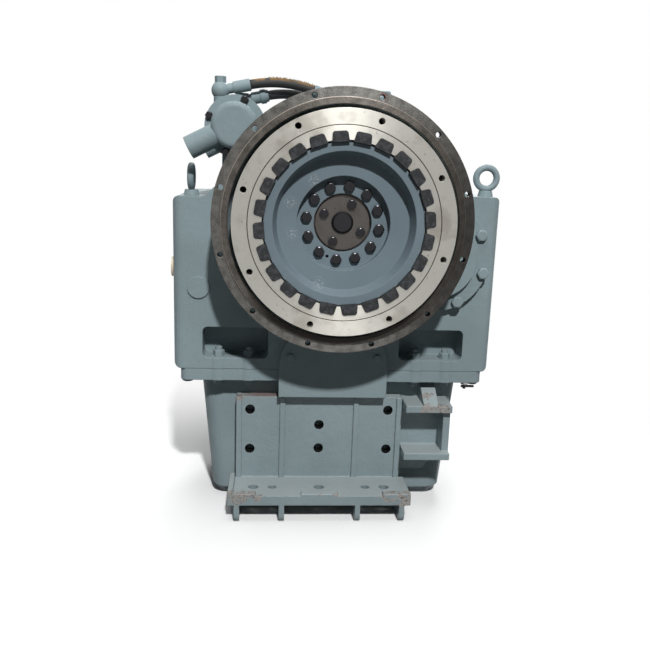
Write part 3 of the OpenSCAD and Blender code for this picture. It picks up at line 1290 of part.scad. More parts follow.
module end_plate_bolts() color(dark_steel) around_y(4, end_plate_pcd, end_plate_phase)
  screw_y(end_screw_d, end_screw_af, end_screw_h, plate_front, end_plate_t + 2 * end_screw_d);

// Shafts, gears and clutch drums
module shaft_y(steps) for (s = steps) rod_y(s[0], s[1], s[2]);
module input_shaft() color(steel) difference() {
  shaft_y([[input_front_d, hub_front, front_race_y1], [shaft_mid_d, front_race_y1, drum_y1],
      [shaft_pinion_d, drum_y1 - cut, casing_y1 - shaft_end_gap]]);
  around_y(4, end_plate_pcd, end_plate_phase)
    hole_y(end_screw_d, hub_front - cut, hub_front + 2 * end_screw_d + cut);
}
module reverse_shaft() color(steel) at_axis(reverse_axis)
  shaft_y([[shaft_pinion_d, casing_y0 + shaft_end_gap, front_race_y1 + cut],
        [shaft_mid_d, front_race_y1, drum_y1],
      [shaft_pinion_d, drum_y1 - cut, casing_y1 - shaft_end_gap]]);
module output_shaft() color(steel) at_axis(output_axis)
  shaft_y([[output_front_d, casing_y0 + shaft_end_gap, output_step_y + cut],
        [output_mid_d, output_step_y, out_y0],
      [output_rear_d, out_y0 - cut, out_y1 - out_pilot_depth]]);
module gear(z, m, phase, bore, y0, y1) difference() {
  prism_y(y0, y1) polygon(gear_outline(z, m, phase));
  rod_y(bore, y0 - cut, y1 + cut);
}
module input_gear() color(steel) gear(gear_z, gear_m, 0, shaft_mid_d + 2 * fit_gap, gear_y0, gear_y1);
module reverse_gear() color(steel) at_axis(reverse_axis)
  gear(gear_z, gear_m, reverse_gear_phase, shaft_mid_d + 2 * fit_gap, gear_y0, gear_y1);
module ahead_pinion() color(steel)
  gear(pinion_z, drive_m, 0, shaft_pinion_d + 2 * fit_gap, pinion_y0, pinion_y1);
module reverse_pinion() color(steel) at_axis(reverse_axis)
  gear(pinion_z, drive_m, reverse_pinion_phase, shaft_pinion_d + 2 * run_gap, pinion_y0, pinion_y1);
module output_gear() color(steel) at_axis(output_axis) difference() {
  rim_d = drive_m * (output_z - 2.5) - 2 * output_rim;
  web_y0 = (output_y0 + output_y1 - output_web_t) / 2;
  gear(output_z, drive_m, output_phase, output_mid_d + 2 * fit_gap, output_y0, output_y1);
  tube_y(rim_d, output_hub_d, output_y0 - cut, web_y0);
  tube_y(rim_d, output_hub_d, web_y0 + output_web_t, output_y1 + cut);
  around_y(output_light_n, (rim_d + output_hub_d) / 2, 90)
    rod_y(output_light_d, output_y0 - cut, output_y1 + cut);
}
module clutch_drum() lathe_y() let (bore_r = shaft_mid_d / 2 + fit_gap, r = drum_d / 2, step = drum_len / 8)
  polygon([[bore_r, drum_y0], [r - step, drum_y0], [r, drum_y0 + step], [r, drum_y0 + 3 * step],
      [r - step / 2, drum_y0 + 3 * step], [r - step / 2, drum_y0 + 4 * step], [r, drum_y0 + 4 * step],
      [r, drum_y1 - step], [r - 2 * step, drum_y1 - step], [r - 2 * step, drum_y1], [bore_r, drum_y1]]);
module ahead_clutch_drum() color(dark_steel) clutch_drum();
module reverse_clutch_drum() color(dark_steel) at_axis(reverse_axis) clutch_drum();
module output_flange() color(steel) at_axis(output_axis) difference() {
  bore_r = output_rear_d / 2 + fit_gap;
  disc_y = out_y1 - out_flange_t;
  floor_y = out_y1 - out_pilot_depth;
  lathe_y() polygon([
    [bore_r, out_y0], [out_hub_d / 2, out_y0], [out_hub_d / 2, disc_y], [out_flange_d / 2, disc_y],
    [out_flange_d / 2, out_y1], [out_pilot_d / 2, out_y1], [out_pilot_d / 2, floor_y], [bore_r, floor_y]]);
  around_y(out_flange_n, out_flange_pcd, 18) rod_y(out_flange_hole_d, disc_y - cut, out_y1 + cut);
}

// Bearings
module outer_race(axis, od, y0) at_axis(axis) tube_y(od, od - 2 * race_t, y0, y0 + bearing_w);
module inner_race(axis, od, bore, y0) at_axis(axis) {
  roller_d = (od - bore) / 2 - 2 * race_t - fit_gap - roller_gap;
  tube_y(bore + 2 * race_t, bore + 2 * fit_gap, y0, y0 + bearing_w);
  around_y(roller_n, bore + 2 * race_t + 2 * fit_gap + roller_d) rod_y(roller_d, y0 + 2, y0 + bearing_w - 2);
}
module bearing_outer_races() color(steel) {
  outer_race(input_axis, input_bearing_d, casing_y0);
  outer_race(reverse_axis, small_bearing_d, casing_y0);
  outer_race(output_axis, output_front_bearing_d, casing_y0);
  outer_race(input_axis, small_bearing_d, rear_race_y0);
  outer_race(reverse_axis, small_bearing_d, rear_race_y0);
  outer_race(output_axis, output_rear_bearing_d, rear_race_y0);
}
module input_bearing_races() color(steel) {
  inner_race(input_axis, input_bearing_d, input_front_d, casing_y0);
  inner_race(input_axis, small_bearing_d, shaft_pinion_d, rear_race_y0);
}
module reverse_bearing_races() color(steel) for (y = [casing_y0, rear_race_y0])
  inner_race(reverse_axis, small_bearing_d, shaft_pinion_d, y);
module output_bearing_races() color(steel) {
  inner_race(output_axis, output_front_bearing_d, output_front_d, casing_y0);
  inner_race(output_axis, output_rear_bearing_d, output_mid_d, rear_race_y0);
}

bell_housing();
bell_housing_bolts();
input_front_cover();
oil_seals();
upper_casing();
lower_casing();
casing_joint_studs();
casing_joint_bolts();
output_front_cover();
cover_bolts();
bearing_outer_races();
input_rear_cover();
oil_pump();
output_rear_cover();
inspection_cover();
breather();
control_valve();
oil_filter_head();
oil_filter_bowl();
cooler_shell();
cooler_front_cap();
cooler_rear_cap();
cooler_cap_bolts();
cooler_saddles();
cooler_oil_fittings();
hose_ferrules();
upper_hose();
lower_hose();
hose_clamp();
lifting_eye_left();
lifting_eye_right();
core_plug();
sight_glass();
drain_plug();
drain_cock();
front_bracket();
side_bracket();
drive_ring();
rubber_blocks();
coupling_spider();
spider_bolts();
coupling_hub();
shaft_end_plate();
end_plate_bolts();
input_shaft();
input_gear();
ahead_clutch_drum();
ahead_pinion();
input_bearing_races();
reverse_shaft();
reverse_gear();
reverse_clutch_drum();
reverse_bearing_races();
reverse_pinion();
output_gear();
output_shaft();
output_flange();
output_bearing_races();
control_lever();
drain_cock_handle();
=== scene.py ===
# %% [markdown]
# # A marine gearbox with a rubber-block coupling
# The solids come from the CAD model and stay where they are. This script gives them
# paint, bare metal and rubber, replaces the plain hoses, rough castings and screw heads
# with finer surfaces, and sets up the floor, the light and the camera. Lengths are in
# metres: +X is to the right seen from the input end, +Y runs to the output, +Z is up.

import json
import math

import bmesh
import bpy
import numpy as np
from mathutils import Matrix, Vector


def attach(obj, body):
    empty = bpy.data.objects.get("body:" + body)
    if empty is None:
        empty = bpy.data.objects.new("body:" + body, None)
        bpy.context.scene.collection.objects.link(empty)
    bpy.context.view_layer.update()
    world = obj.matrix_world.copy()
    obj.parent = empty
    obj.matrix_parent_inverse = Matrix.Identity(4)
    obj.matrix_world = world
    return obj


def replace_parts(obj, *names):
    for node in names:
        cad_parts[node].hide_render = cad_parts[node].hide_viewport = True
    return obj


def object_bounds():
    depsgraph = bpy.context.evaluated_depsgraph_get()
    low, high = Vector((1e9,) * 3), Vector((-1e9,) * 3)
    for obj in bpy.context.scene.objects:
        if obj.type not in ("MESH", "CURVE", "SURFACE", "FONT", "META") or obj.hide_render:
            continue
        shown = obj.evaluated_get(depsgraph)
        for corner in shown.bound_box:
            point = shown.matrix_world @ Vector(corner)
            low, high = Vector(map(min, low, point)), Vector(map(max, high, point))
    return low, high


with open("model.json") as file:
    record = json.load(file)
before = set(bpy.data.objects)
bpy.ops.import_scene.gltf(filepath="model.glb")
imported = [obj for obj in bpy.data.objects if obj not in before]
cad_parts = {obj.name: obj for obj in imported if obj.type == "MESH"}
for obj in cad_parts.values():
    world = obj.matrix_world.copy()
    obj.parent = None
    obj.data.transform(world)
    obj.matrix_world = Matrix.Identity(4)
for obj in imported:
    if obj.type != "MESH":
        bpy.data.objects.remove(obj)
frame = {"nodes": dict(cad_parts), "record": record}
cad_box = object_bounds()
cad = frame["nodes"]
mount = {m["name"]: m for m in frame["record"]["mounts"]}

# %% [markdown]
# ## Camera
# A camera can be set by eye, but a fitted one lets the render be laid over the
# photograph. The two standard bolt circles of the input end give its place: their known
# diameters fix the distance, and their ellipses fix the tilt. The lens follows from the
# focal length in pixels of a square picture.

# %% Camera at the photograph's viewpoint
image_px = 650
focal_px = 754
sensor_mm = 36
eye = np.array([-0.1492, -1.5716, 0.1341])
pitch, yaw, roll = np.radians([12.5, -4.23, 1.86])


def turn(axis, angle):
    """Turns by the right-hand rule about one axis of the picture: 0 right, 1 down, 2 away."""
    c, s = math.cos(angle), math.sin(angle)
    i, j = [(1, 2), (2, 0), (0, 1)][axis]
    m = np.eye(3)
    m[i, i], m[i, j], m[j, i], m[j, j] = c, -s, s, c
    return m


level_view = np.array([[1, 0, 0], [0, 0, -1], [0, 1, 0]])
right, down, away = turn(2, roll) @ turn(0, pitch) @ turn(1, yaw) @ level_view
lens = bpy.data.cameras.new("photo_camera")
lens.sensor_width = sensor_mm
lens.lens = focal_px / image_px * sensor_mm
camera = bpy.data.objects.new("photo_camera", lens)
bpy.context.scene.collection.objects.link(camera)
view = np.eye(4)
view[:3, 0], view[:3, 1], view[:3, 2], view[:3, 3] = right, -down, -away, eye
camera.matrix_world = Matrix(view.tolist())
bpy.context.scene.camera = camera
bpy.context.scene.view_settings.view_transform = "Standard"
print("camera", np.round(eye, 3), "lens", round(lens.lens, 2), "mm")

# %% [markdown]
# ## Surfaces as arrays
# Hoses and screws could be built from Blender's own curves and primitives. Here each one
# is a grid of points worked out with whole arrays, because a formula is exact and easy to
# read. A row that shrinks to one point closes an end, and welding the doubled points
# closes poles and seams. A UV map may come with the grid, for patterns that follow it.

# %% Grid surfaces
weld_distance = 1e-7
sliver = 1e-8


def grid_faces(rows, columns, close_columns=True):
    """Quads between neighbouring points of a rows by columns grid, joined round where closed."""
    index = np.arange(rows * columns).reshape(rows, columns)
    if close_columns:
        index = np.hstack([index, index[:, :1]])
    corners = [index[:-1, :-1], index[1:, :-1], index[1:, 1:], index[:-1, 1:]]
    return np.stack([c.ravel() for c in corners], axis=1)


def put_in_scene(name, mesh, body, finish, smooth=True):
    """An object for a finished mesh, riding on a CAD body."""
    mesh.polygons.foreach_set("use_smooth", np.full(len(mesh.polygons), smooth))
    mesh.materials.append(finish)
    made = bpy.data.objects.new(name, mesh)
    bpy.context.scene.collection.objects.link(made)
    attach(made, body)
    print(name, len(mesh.vertices), "points on", body)
    return made


def piece(name, grids, body, finish, smooth=True, uv=None):
    """One mesh of many grids (copies by rows by columns by 3), welded, riding on a CAD body."""
    points = np.concatenate([g.reshape(-1, 3) for g in grids])
    faces, first = [], 0
    for g in grids:
        quads = grid_faces(g.shape[1], g.shape[2], uv is None)
        size = g.shape[1] * g.shape[2]
        starts = first + np.arange(len(g)) * size
        faces.append((quads[None] + starts[:, None, None]).reshape(-1, 4))
        first += g.shape[0] * size
    mesh = bpy.data.meshes.new(name)
    mesh.from_pydata(points.tolist(), [], np.concatenate(faces).tolist())
    if uv is not None:
        corner = np.empty(len(mesh.loops), dtype=int)
        mesh.loops.foreach_get("vertex_index", corner)
        corner_uv = uv.reshape(-1, 2)[corner]
        mesh.uv_layers.new(name="surface").data.foreach_set("uv", corner_uv.ravel())
    welded = bmesh.new()
    welded.from_mesh(mesh)
    bmesh.ops.remove_doubles(welded, verts=welded.verts, dist=weld_distance)
    bmesh.ops.dissolve_degenerate(welded, edges=welded.edges, dist=sliver)
    bmesh.ops.recalc_face_normals(welded, faces=welded.faces)
    welded.to_mesh(mesh)
    welded.free()
    return put_in_scene(name, mesh, body, finish, smooth)


# %% [markdown]
# ## Reading the CAD solids
# Rough castings and screws are dressed from their own CAD solids. Their places could be
# typed in again, but reading them keeps the two models together. A CAD mesh is loose
# triangles, so equal corners are joined first. Corners that share triangles then belong
# to one solid.


# %% Corners and solids of a CAD node
def welded_corners(node):
    """A node's corners in the shared frame, doubled ones joined, and its triangles."""
    mesh = cad[node].data
    mesh.calc_loop_triangles()
    co = np.empty(len(mesh.vertices) * 3)
    mesh.vertices.foreach_get("co", co)
    triangle = np.empty(len(mesh.loop_triangles) * 3, dtype=int)
    mesh.loop_triangles.foreach_get("vertices", triangle)
    at = np.array(cad[node].matrix_world)
    co = co.reshape(-1, 3) @ at[:3, :3].T + at[:3, 3]
    points, same = np.unique(np.round(co, 5), axis=0, return_inverse=True)
    return points, same.ravel()[triangle].reshape(-1, 3)


def solids_of(node):
    """Corners of each solid: a corner takes the lowest label in its triangles, until none changes."""
    points, triangle = welded_corners(node)
    label, changed = np.arange(len(points)), True
    while changed:
        low = label.copy()
        np.minimum.at(low, triangle.ravel(), np.repeat(label[triangle].min(axis=1), 3))
        changed = bool((low != label).any())
        label = low
    return [points[label == k] for k in np.unique(label)]


# %% [markdown]
# ## Node trees
# A finish is a small node tree. Nodes can be placed by hand in the shader editor, but a
# tree written as calls can be read, compared and used again. This helper adds one node
# per call and hands back its output, so that a pattern reads like a sum.


# %% Helper for node trees
class Nodes:
    """A node tree in the making: each method adds a node and returns its output."""

    def __init__(self, tree):
        self.tree = tree

    def node(self, kind, **settings):
        made = self.tree.nodes.new(kind)
        for key, value in settings.items():
            setattr(made, key, value)
        return made

    def feed(self, socket, value):
        """Links an output to a socket, or sets the socket's constant."""
        if isinstance(value, bpy.types.NodeSocket):
            self.tree.links.new(value, socket)
        elif socket.type == "RGBA":
            socket.default_value = (*value[:3], 1)
        else:
            socket.default_value = value

    def math(self, operation, a, b=0.0):
        made = self.node("ShaderNodeMath", operation=operation)
        self.feed(made.inputs[0], a)
        self.feed(made.inputs[1], b)
        return made.outputs[0]

    def vector(self, operation, a, b=(0, 0, 0), output=0):
        """Output 0 is a vector, and output 1 is a number such as a distance."""
        made = self.node("ShaderNodeVectorMath", operation=operation)
        self.feed(made.inputs[0], a)
        self.feed(made.inputs[1], b)
        return made.outputs[output]

    def part(self, value, axis):
        """The X, Y or Z of a vector."""
        made = self.node("ShaderNodeSeparateXYZ")
        self.feed(made.inputs[0], value)
        return made.outputs[axis]

    def ramp(self, value, low, high, to_low=0.0, to_high=1.0):
        """Smoothly from to_low, where value is low, to to_high, where it is high."""
        made = self.node("ShaderNodeMapRange", interpolation_type="SMOOTHSTEP")
        for socket, v in zip(made.inputs, (value, low, high, to_low, to_high)):
            self.feed(socket, v)
        return made.outputs[0]

    def mix(self, factor, a, b):
        """Colour a where the factor is 0, and colour b where it is 1."""
        made = self.node("ShaderNodeMix", data_type="RGBA")
        for index, value in ((0, factor), (6, a), (7, b)):
            self.feed(made.inputs[index], value)
        return made.outputs[2]

    def seen_directly(self):
        """1 for rays that should see a white background: from the camera, mirrors and glass."""
        path = self.node("ShaderNodeLightPath")
        value = path.outputs["Is Camera Ray"]
        for kind in ("Is Glossy Ray", "Is Transmission Ray"):
            value = self.math("MAXIMUM", value, path.outputs[kind])
        return value


# %% [markdown]
# ## Finishes
# Paint wears off at edges, dark shade is painted low down and on one side, and a lathe
# leaves rings, so a finish asks where a point lies, which way it faces and how near an
# edge is. Image textures could show this too. Object coordinates need no files or seams,
# keep a pattern's real size in metres, and stay put when a body turns. A Bevel node rounds
# the look of sharp CAD edges, and its difference from the true normal tells where an edge is.


# %% Material of one finish
class Finish(Nodes):
    """A material with patterns that read the piece's own Object coordinates."""

    def __init__(self, name, **sockets):
        self.material = bpy.data.materials.new(name)
        self.material.use_nodes = True
        super().__init__(self.material.node_tree)
        self.shader = self.tree.nodes["Principled BSDF"]
        self.here = self.node("ShaderNodeTexCoord").outputs["Object"]
        self.shine(**sockets)

    def shine(self, **sockets):
        """Feeds the shader's sockets, each named with _ for its spaces."""
        for key, value in sockets.items():
            self.feed(self.shader.inputs[key.replace("_", " ")], value)

    def so_far(self, socket="Base Color"):
        """The output that feeds one of the shader's sockets up to now."""
        return self.shader.inputs[socket].links[0].from_socket

    def noise(self, scale, detail=3.0):
        made = self.node("ShaderNodeTexNoise")
        self.feed(made.inputs["Vector"], self.here)
        self.feed(made.inputs["Scale"], scale)
        self.feed(made.inputs["Detail"], detail)
        return made.outputs[0]

    def along(self, axis):
        return self.part(self.here, axis)

    def radius(self, centre=(0, 0, 0)):
        """Distance from a line along Y through the centre."""
        flat = self.vector("MULTIPLY", self.here, (1, 0, 1))
        return self.vector("DISTANCE", flat, (centre[0], 0, centre[2]), 1)

    def in_holes(self, centres, radius):
        """1 inside any of several round holes along Y, to just past their walls."""
        value = 0.0
        for centre in centres:
            hole = self.ramp(self.radius(centre), radius + 0.0001, radius + 0.0003, 1.0, 0.0)
            value = self.math("MAXIMUM", value, hole)
        return value

    def near(self, centre, radius):
        """1 at a point, fading to 0 at a distance of radius."""
        distance = self.vector("DISTANCE", self.here, tuple(centre), 1)
        return self.ramp(distance, 0.3 * radius, radius, 1.0, 0.0)

    def nearest(self, spots):
        """The strongest of several spots, each a centre and a radius."""
        value = 0.0
        for centre, radius in spots:
            value = self.math("MAXIMUM", value, self.near(centre, radius))
        return value

    def upward(self):
        """1 on level tops, 0 on upright faces and -1 underneath."""
        return self.part(self.node("ShaderNodeNewGeometry").outputs["Normal"], "Z")

    def soft_edges(self, radius):
        """The normal of a surface whose edges are rounded."""
        made = self.node("ShaderNodeBevel", samples=6)
        self.feed(made.inputs["Radius"], radius)
        return made.outputs[0]

    def edge(self, rounded):
        """0 on open faces, and up to 0.3 at a right-angled edge."""
        true = self.node("ShaderNodeNewGeometry").outputs["True Normal"]
        return self.math("SUBTRACT", 1.0, self.vector("DOT_PRODUCT", rounded, true, 1))

    def bump(self, height, distance, normal=None):
        made = self.node("ShaderNodeBump")
        self.feed(made.inputs["Distance"], distance)
        self.feed(made.inputs["Height"], height)
        if normal is not None:
            self.feed(made.inputs["Normal"], normal)
        return made.outputs[0]

    def turned(self):
        """Stretches highlights across the rings that a lathe leaves round Y."""
        tangent = self.node("ShaderNodeTangent", direction_type="RADIAL", axis="Y").outputs[0]
        self.shine(Anisotropic=0.75, Anisotropic_Rotation=0.25, Tangent=tangent)


# %% [markdown]
# ## Hoses
# Two short oil hoses climb out of the cooler's fittings and fall into the control valve.
# A curve with a bevel would draw them quickly. Carrying a circle along the route by hand
# also gives a UV map in metres, which the woven jacket needs. Each route is an arc of a
# circle and repeats the CAD model's values.


# %% Hose routes
def hose_route(port_z, bend_r, y, count=41):
    """An arc: centre + r (sin a, cos a), with a from -rise at the cooler to drop at the valve."""
    drop, rise = math.radians(18.6), math.radians(12.4)
    port_x, ferrule = -0.025, 0.038
    end = np.array([port_x - ferrule * math.cos(drop), port_z + ferrule * math.sin(drop)])
    centre = end - bend_r * np.array([math.sin(drop), math.cos(drop)])
    a = np.linspace(-rise, drop, count)
    x, z = centre[0] + bend_r * np.sin(a), centre[1] + bend_r * np.cos(a)
    return np.stack([x, np.full(count, y), z], axis=1)


def along_route(route):
    """Unit vectors at each point of a route: forwards, and up across it."""
    forward = np.gradient(route, axis=0)
    forward /= np.linalg.norm(forward, axis=1, keepdims=True)
    return forward, np.cross(forward, [0.0, 1.0, 0.0])


hose_d = 0.021
upper_route = hose_route(port_z=0.268, bend_r=0.265, y=0.190)
lower_route = hose_route(port_z=0.250, bend_r=0.190, y=0.212)


# %% Tube along a route
def tube(route, radius, columns=33):
    """Point = route + radius (cos b up + sin b across); the first and last rows close the ends."""
    up = along_route(route)[1][:, None, :]
    b = np.linspace(0, 2 * np.pi, columns)[None, :, None]
    ring = np.cos(b) * up + np.sin(b) * np.array([0.0, 1.0, 0.0])
    rows = route[:, None, :] + radius * ring
    ends = [np.repeat(route[k][None, None], columns, axis=1) for k in (0, -1)]
    length = np.r_[0, np.cumsum(np.linalg.norm(np.diff(route, axis=0), axis=1))]
    u = np.repeat(np.r_[length[0], length, length[-1]][:, None], columns, axis=1)
    v = np.repeat(b[0, :, 0][None] * radius, len(u), axis=0)
    return np.concatenate([ends[0], rows, ends[1]])[None], np.stack([u, v], axis=2)


# %% [markdown]
# ## Hose cloth and hose rubber
# The upper hose has a woven cloth jacket, worn golden brown on top, and the lower one is
# nearly smooth. Real threads would need a huge mesh. Two waves that cross on the UV map
# look the same from here, and a noise on the upper side says where the cloth is worn.


# %% Hose finishes
def hose_finish(name, base, worn, wear, turns=18):
    """Two crossing helices of thread, sin(k(u + v)) and sin(k(u - v)), over rubber, worn on top."""
    f = Finish(name, Roughness=0.55)
    uv = f.node("ShaderNodeUVMap", uv_map="surface").outputs[0]
    u, v = f.part(uv, "X"), f.part(uv, "Y")
    k = turns / (hose_d / 2)
    helices = [f.math("SINE", f.math("MULTIPLY", f.math(way, u, v), k)) for way in ("ADD", "SUBTRACT")]
    weave = f.math("MAXIMUM", *helices)
    top = f.ramp(f.upward(), 0.2, 0.85)
    patch = f.math("MULTIPLY", top, f.ramp(f.noise(85.0, 5.0), 0.42, 0.56))
    tone = f.mix(f.ramp(weave, 0.2, 1.0), np.array(base) * 0.6, np.array(base) * 1.5)
    tone = f.mix(f.math("MULTIPLY", patch, wear), tone, worn)
    f.shine(Base_Color=tone, Normal=f.bump(weave, 0.0003))
    return f.material


black_cloth, golden_brown = (0.010, 0.009, 0.009), (0.22, 0.12, 0.025)
black_rubber, grey_rubber = (0.011, 0.012, 0.014), (0.03, 0.032, 0.036)
pale_thread, dark_thread = (0.3, 0.17, 0.03), (0.06, 0.035, 0.015)
hose_cloth = hose_finish("worn_hose_cloth", black_cloth, golden_brown, wear=0.95)
hose_rubber = hose_finish("hose_rubber", black_rubber, grey_rubber, wear=0.6, turns=40)
thread = Finish("frayed_thread", Roughness=0.8)
thread.shine(Base_Color=thread.mix(thread.noise(300.0), pale_thread, dark_thread))
print("hose finishes")

# %% Hoses
grid, surface = tube(upper_route, hose_d / 2)
upper_hose = piece("upper_hose_cloth", [grid], "gearbox", hose_cloth, uv=surface)
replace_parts(upper_hose, "upper_hose")
grid, surface = tube(lower_route, hose_d / 2)
lower_hose = piece("lower_hose_rubber", [grid], "gearbox", hose_rubber, uv=surface)
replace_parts(lower_hose, "lower_hose")

# %% [markdown]
# ## Loose threads
# The worn jacket has short threads that stand up from its top. Hair particles could show
# them, but they don't leave Blender with the mesh. So each thread is a thin closed cone,
# and one array holds them all. A fixed seed gives the same threads each time.


# %% Threads on the upper hose
def loose_threads(route, count, seed=5):
    """Thin cones from the hose's top: point = root + s length lean + r(s) ring, r falling to 0."""
    rng = np.random.default_rng(seed)
    frayed_from, sunk, apart = 12, 0.0004, 0.002
    tip_over, sway, stray = 0.9, 1.1, 0.4
    shortest, longest = 0.0018, 0.0050
    at = rng.integers(frayed_from, len(route) - 1, count)
    forward, up = (v[at] for v in along_route(route))
    across = np.cross(up, forward)
    tilt = rng.uniform(-tip_over, tip_over, count)[:, None]
    out = np.cos(tilt) * up + np.sin(tilt) * across
    root = route[at] + out * (hose_d / 2 - sunk) + forward * rng.uniform(-apart, apart, (count, 1))
    lean = out + forward * rng.uniform(-sway, sway, (count, 1))
    lean = lean + across * rng.uniform(-stray, stray, (count, 1))
    lean /= np.linalg.norm(lean, axis=1, keepdims=True)
    side = np.cross(lean, forward)
    side /= np.linalg.norm(side, axis=1, keepdims=True)
    other = np.cross(lean, side)
    s = np.array([0.0, 0.0, 0.5, 1.0])[None, :, None, None]
    r = np.array([0.0, 0.00042, 0.00030, 0.0])[None, :, None, None]
    b = (np.arange(4) * np.pi / 2)[None, None, :, None]
    ring = np.cos(b) * side[:, None, None, :] + np.sin(b) * other[:, None, None, :]
    reach = rng.uniform(shortest, longest, count)[:, None, None, None]
    return root[:, None, None, :] + s * reach * lean[:, None, None, :] + r * ring


threads = piece("hose_threads", [loose_threads(upper_route, 260)], "gearbox", thread.material)

# %% [markdown]
# ## Paint on castings
# The castings are sprayed in one coat of blue-grey paint. It lies over a sand-cast skin,
# so it is pitted and uneven. Sharp edges are painted paler, as thin paint and as a painted
# highlight, and level tops are painted paler, as dust and, with a large share, as painted
# top light. Where a casting was knocked, worn grey iron with brown specks shows through.
# Those places are given as points with a radius, and noise breaks up their outline,
# because a painted mask would not follow a change of the solid.

# %% Casting paint
paint_grey = np.array([0.216, 0.275, 0.292])
pale_dust_and_top_light = (0.47, 0.49, 0.48)
rust_brown = np.array([0.080, 0.064, 0.056])
bare_iron = np.array([0.27, 0.26, 0.245])
# Dark colour painted as shade on the walls of bolt holes.
hole_shade_black = (0.010, 0.010, 0.010)


def casting_finish(name, colour=paint_grey, knocks=(), skin=0.0008, dust_and_top_light=0.10, edge=0.0025, seams=()):
    """Paint whose tone drifts, with bare iron at the knocks, a dark line at each seam's height, edges paler
    as thin paint and painted highlight, and tops paler as dust and painted top light.
    """
    f = Finish(name, Specular_IOR_Level=0.12)
    tone = f.mix(f.ramp(f.noise(5.0), 0.3, 0.7), colour * 0.9, colour * 1.06)
    grit = f.ramp(f.noise(170.0, 5.0), 0.60, 0.72, 0.0, 0.3)
    tone = f.mix(grit, tone, colour * 0.62)
    # Level tops are painted paler, as dust and, with a large share, as painted top light.
    dust_and_top_light_share = f.math("MULTIPLY", f.ramp(f.upward(), 0.6, 1.0), dust_and_top_light)
    tone = f.mix(dust_and_top_light_share, tone, pale_dust_and_top_light)
    rounded = f.soft_edges(edge)
    turn_away = f.edge(rounded)
    # Edges are painted paler, as thin paint and as a painted highlight.
    tone = f.mix(f.ramp(turn_away, 0.03, 0.25, 0.0, 0.35), tone, colour * 1.6)
    for height in seams:
        gap = f.math("ABSOLUTE", f.math("SUBTRACT", f.along("Z"), height))
        tone = f.mix(f.ramp(gap, 0.0003, 0.0009, 0.8, 0.0), tone, colour * 0.2)
    if knocks:
        worn = f.math("ADD", turn_away, f.math("MULTIPLY", f.nearest(knocks), 0.30))
        chip = f.math("ADD", worn, f.math("MULTIPLY", f.noise(75.0, 9.0), 0.3))
        iron = f.mix(f.ramp(f.noise(260.0, 5.0), 0.34, 0.46), rust_brown, bare_iron)
        tone = f.mix(f.ramp(chip, 0.42, 0.45), tone, iron)
    cast = f.math("ADD", f.noise(60.0, 2.0), f.math("MULTIPLY", f.noise(330.0, 2.0), 0.6))
    f.shine(Base_Color=tone, Roughness=f.ramp(f.noise(30.0), 0.3, 0.7, 0.40, 0.56))
    f.shine(Normal=f.bump(cast, skin, rounded))
    return f


# %% Paint of covers, casings and fittings
casing_joint_z = -0.355
paint = casting_finish("grey_casting_paint").material
casing_paint = casting_finish("grey_casing_paint", seams=(casing_joint_z,)).material
fitting_paint = casting_finish("grey_fitting_paint", skin=0.00015, edge=0.001).material
print("grey paint, with the casings' joint at", casing_joint_z)

# %% [markdown]
# ## Scuffed spider
# The deep dish that holds the rubber blocks is smoother than the castings and painted a
# darker blue. Tools have scuffed it pale in four places. They are spots round lines along
# Y, so that they run down the slope of the dish, and noise leaves only scratches of them.

# %% Spider paint
spider_blue = np.array([0.147, 0.190, 0.215])
scuff_grey = (0.42, 0.45, 0.47)
scuff_places = [(-0.063, 0, 0.088), (-0.112, 0, 0.042), (-0.109, 0, -0.023), (-0.048, 0, -0.126)]
spider = casting_finish("blue_spider_paint", spider_blue, skin=0.0002, dust_and_top_light=0.03)
scuffs = 0.0
for centre in scuff_places:
    spot = spider.ramp(spider.radius(centre), 0.004, 0.018, 1.0, 0.0)
    scuffs = spider.math("MAXIMUM", scuffs, spot)
scratches = spider.ramp(spider.noise(260.0, 6.0), 0.5, 0.62, 0.0, 0.55)
scuffs = spider.math("MULTIPLY", scuffs, scratches)
spider.shine(Base_Color=spider.mix(scuffs, spider.so_far(), scuff_grey))
spider_paint = spider.material
print(len(scuff_places), "scuffs on the spider")

# %% [markdown]
# ## Knocked brackets
# The two mounting brackets are the roughest castings. Their feet and corners are worn to
# the iron, old red-brown primer shows on top of the front one, and the walls of its empty
# bolt holes are painted dark as shade. Their level tops are painted paler, as dust and as
# painted top light. A clear coat over the bumpy skin gives their thick paint its wet
# glints, which a plain low roughness would spread too evenly. The holes' places come from
# the mounts, so they need no numbers here.

# %% Worn places
bracket_knocks = [
    ((-0.222, 0.160, -0.428), 0.030), ((-0.220, 0.048, -0.632), 0.055),
    ((-0.180, 0.048, -0.628), 0.045), ((-0.030, 0.048, -0.628), 0.024),
    ((0.010, 0.048, -0.628), 0.020), ((0.135, 0.048, -0.628), 0.050),
    ((0.170, 0.048, -0.636), 0.055),
]
side_knocks = [
    ((0.226, 0.130, -0.400), 0.050), ((0.225, 0.106, -0.440), 0.040),
    ((0.262, 0.106, -0.440), 0.045),
]
# A large share paints the brackets' level tops paler, as dust and as painted top light.
rough = {"skin": 0.0013, "dust_and_top_light": 0.4}
bracket = casting_finish("knocked_bracket_paint", knocks=bracket_knocks, **rough)
side = casting_finish("knocked_side_bracket_paint", knocks=side_knocks, **rough)
for finish in (bracket, side):
    finish.shine(Coat_Weight=0.4, Coat_Roughness=0.28, Coat_Normal=finish.so_far("Normal"))
print(len(bracket_knocks) + len(side_knocks), "knocked places")

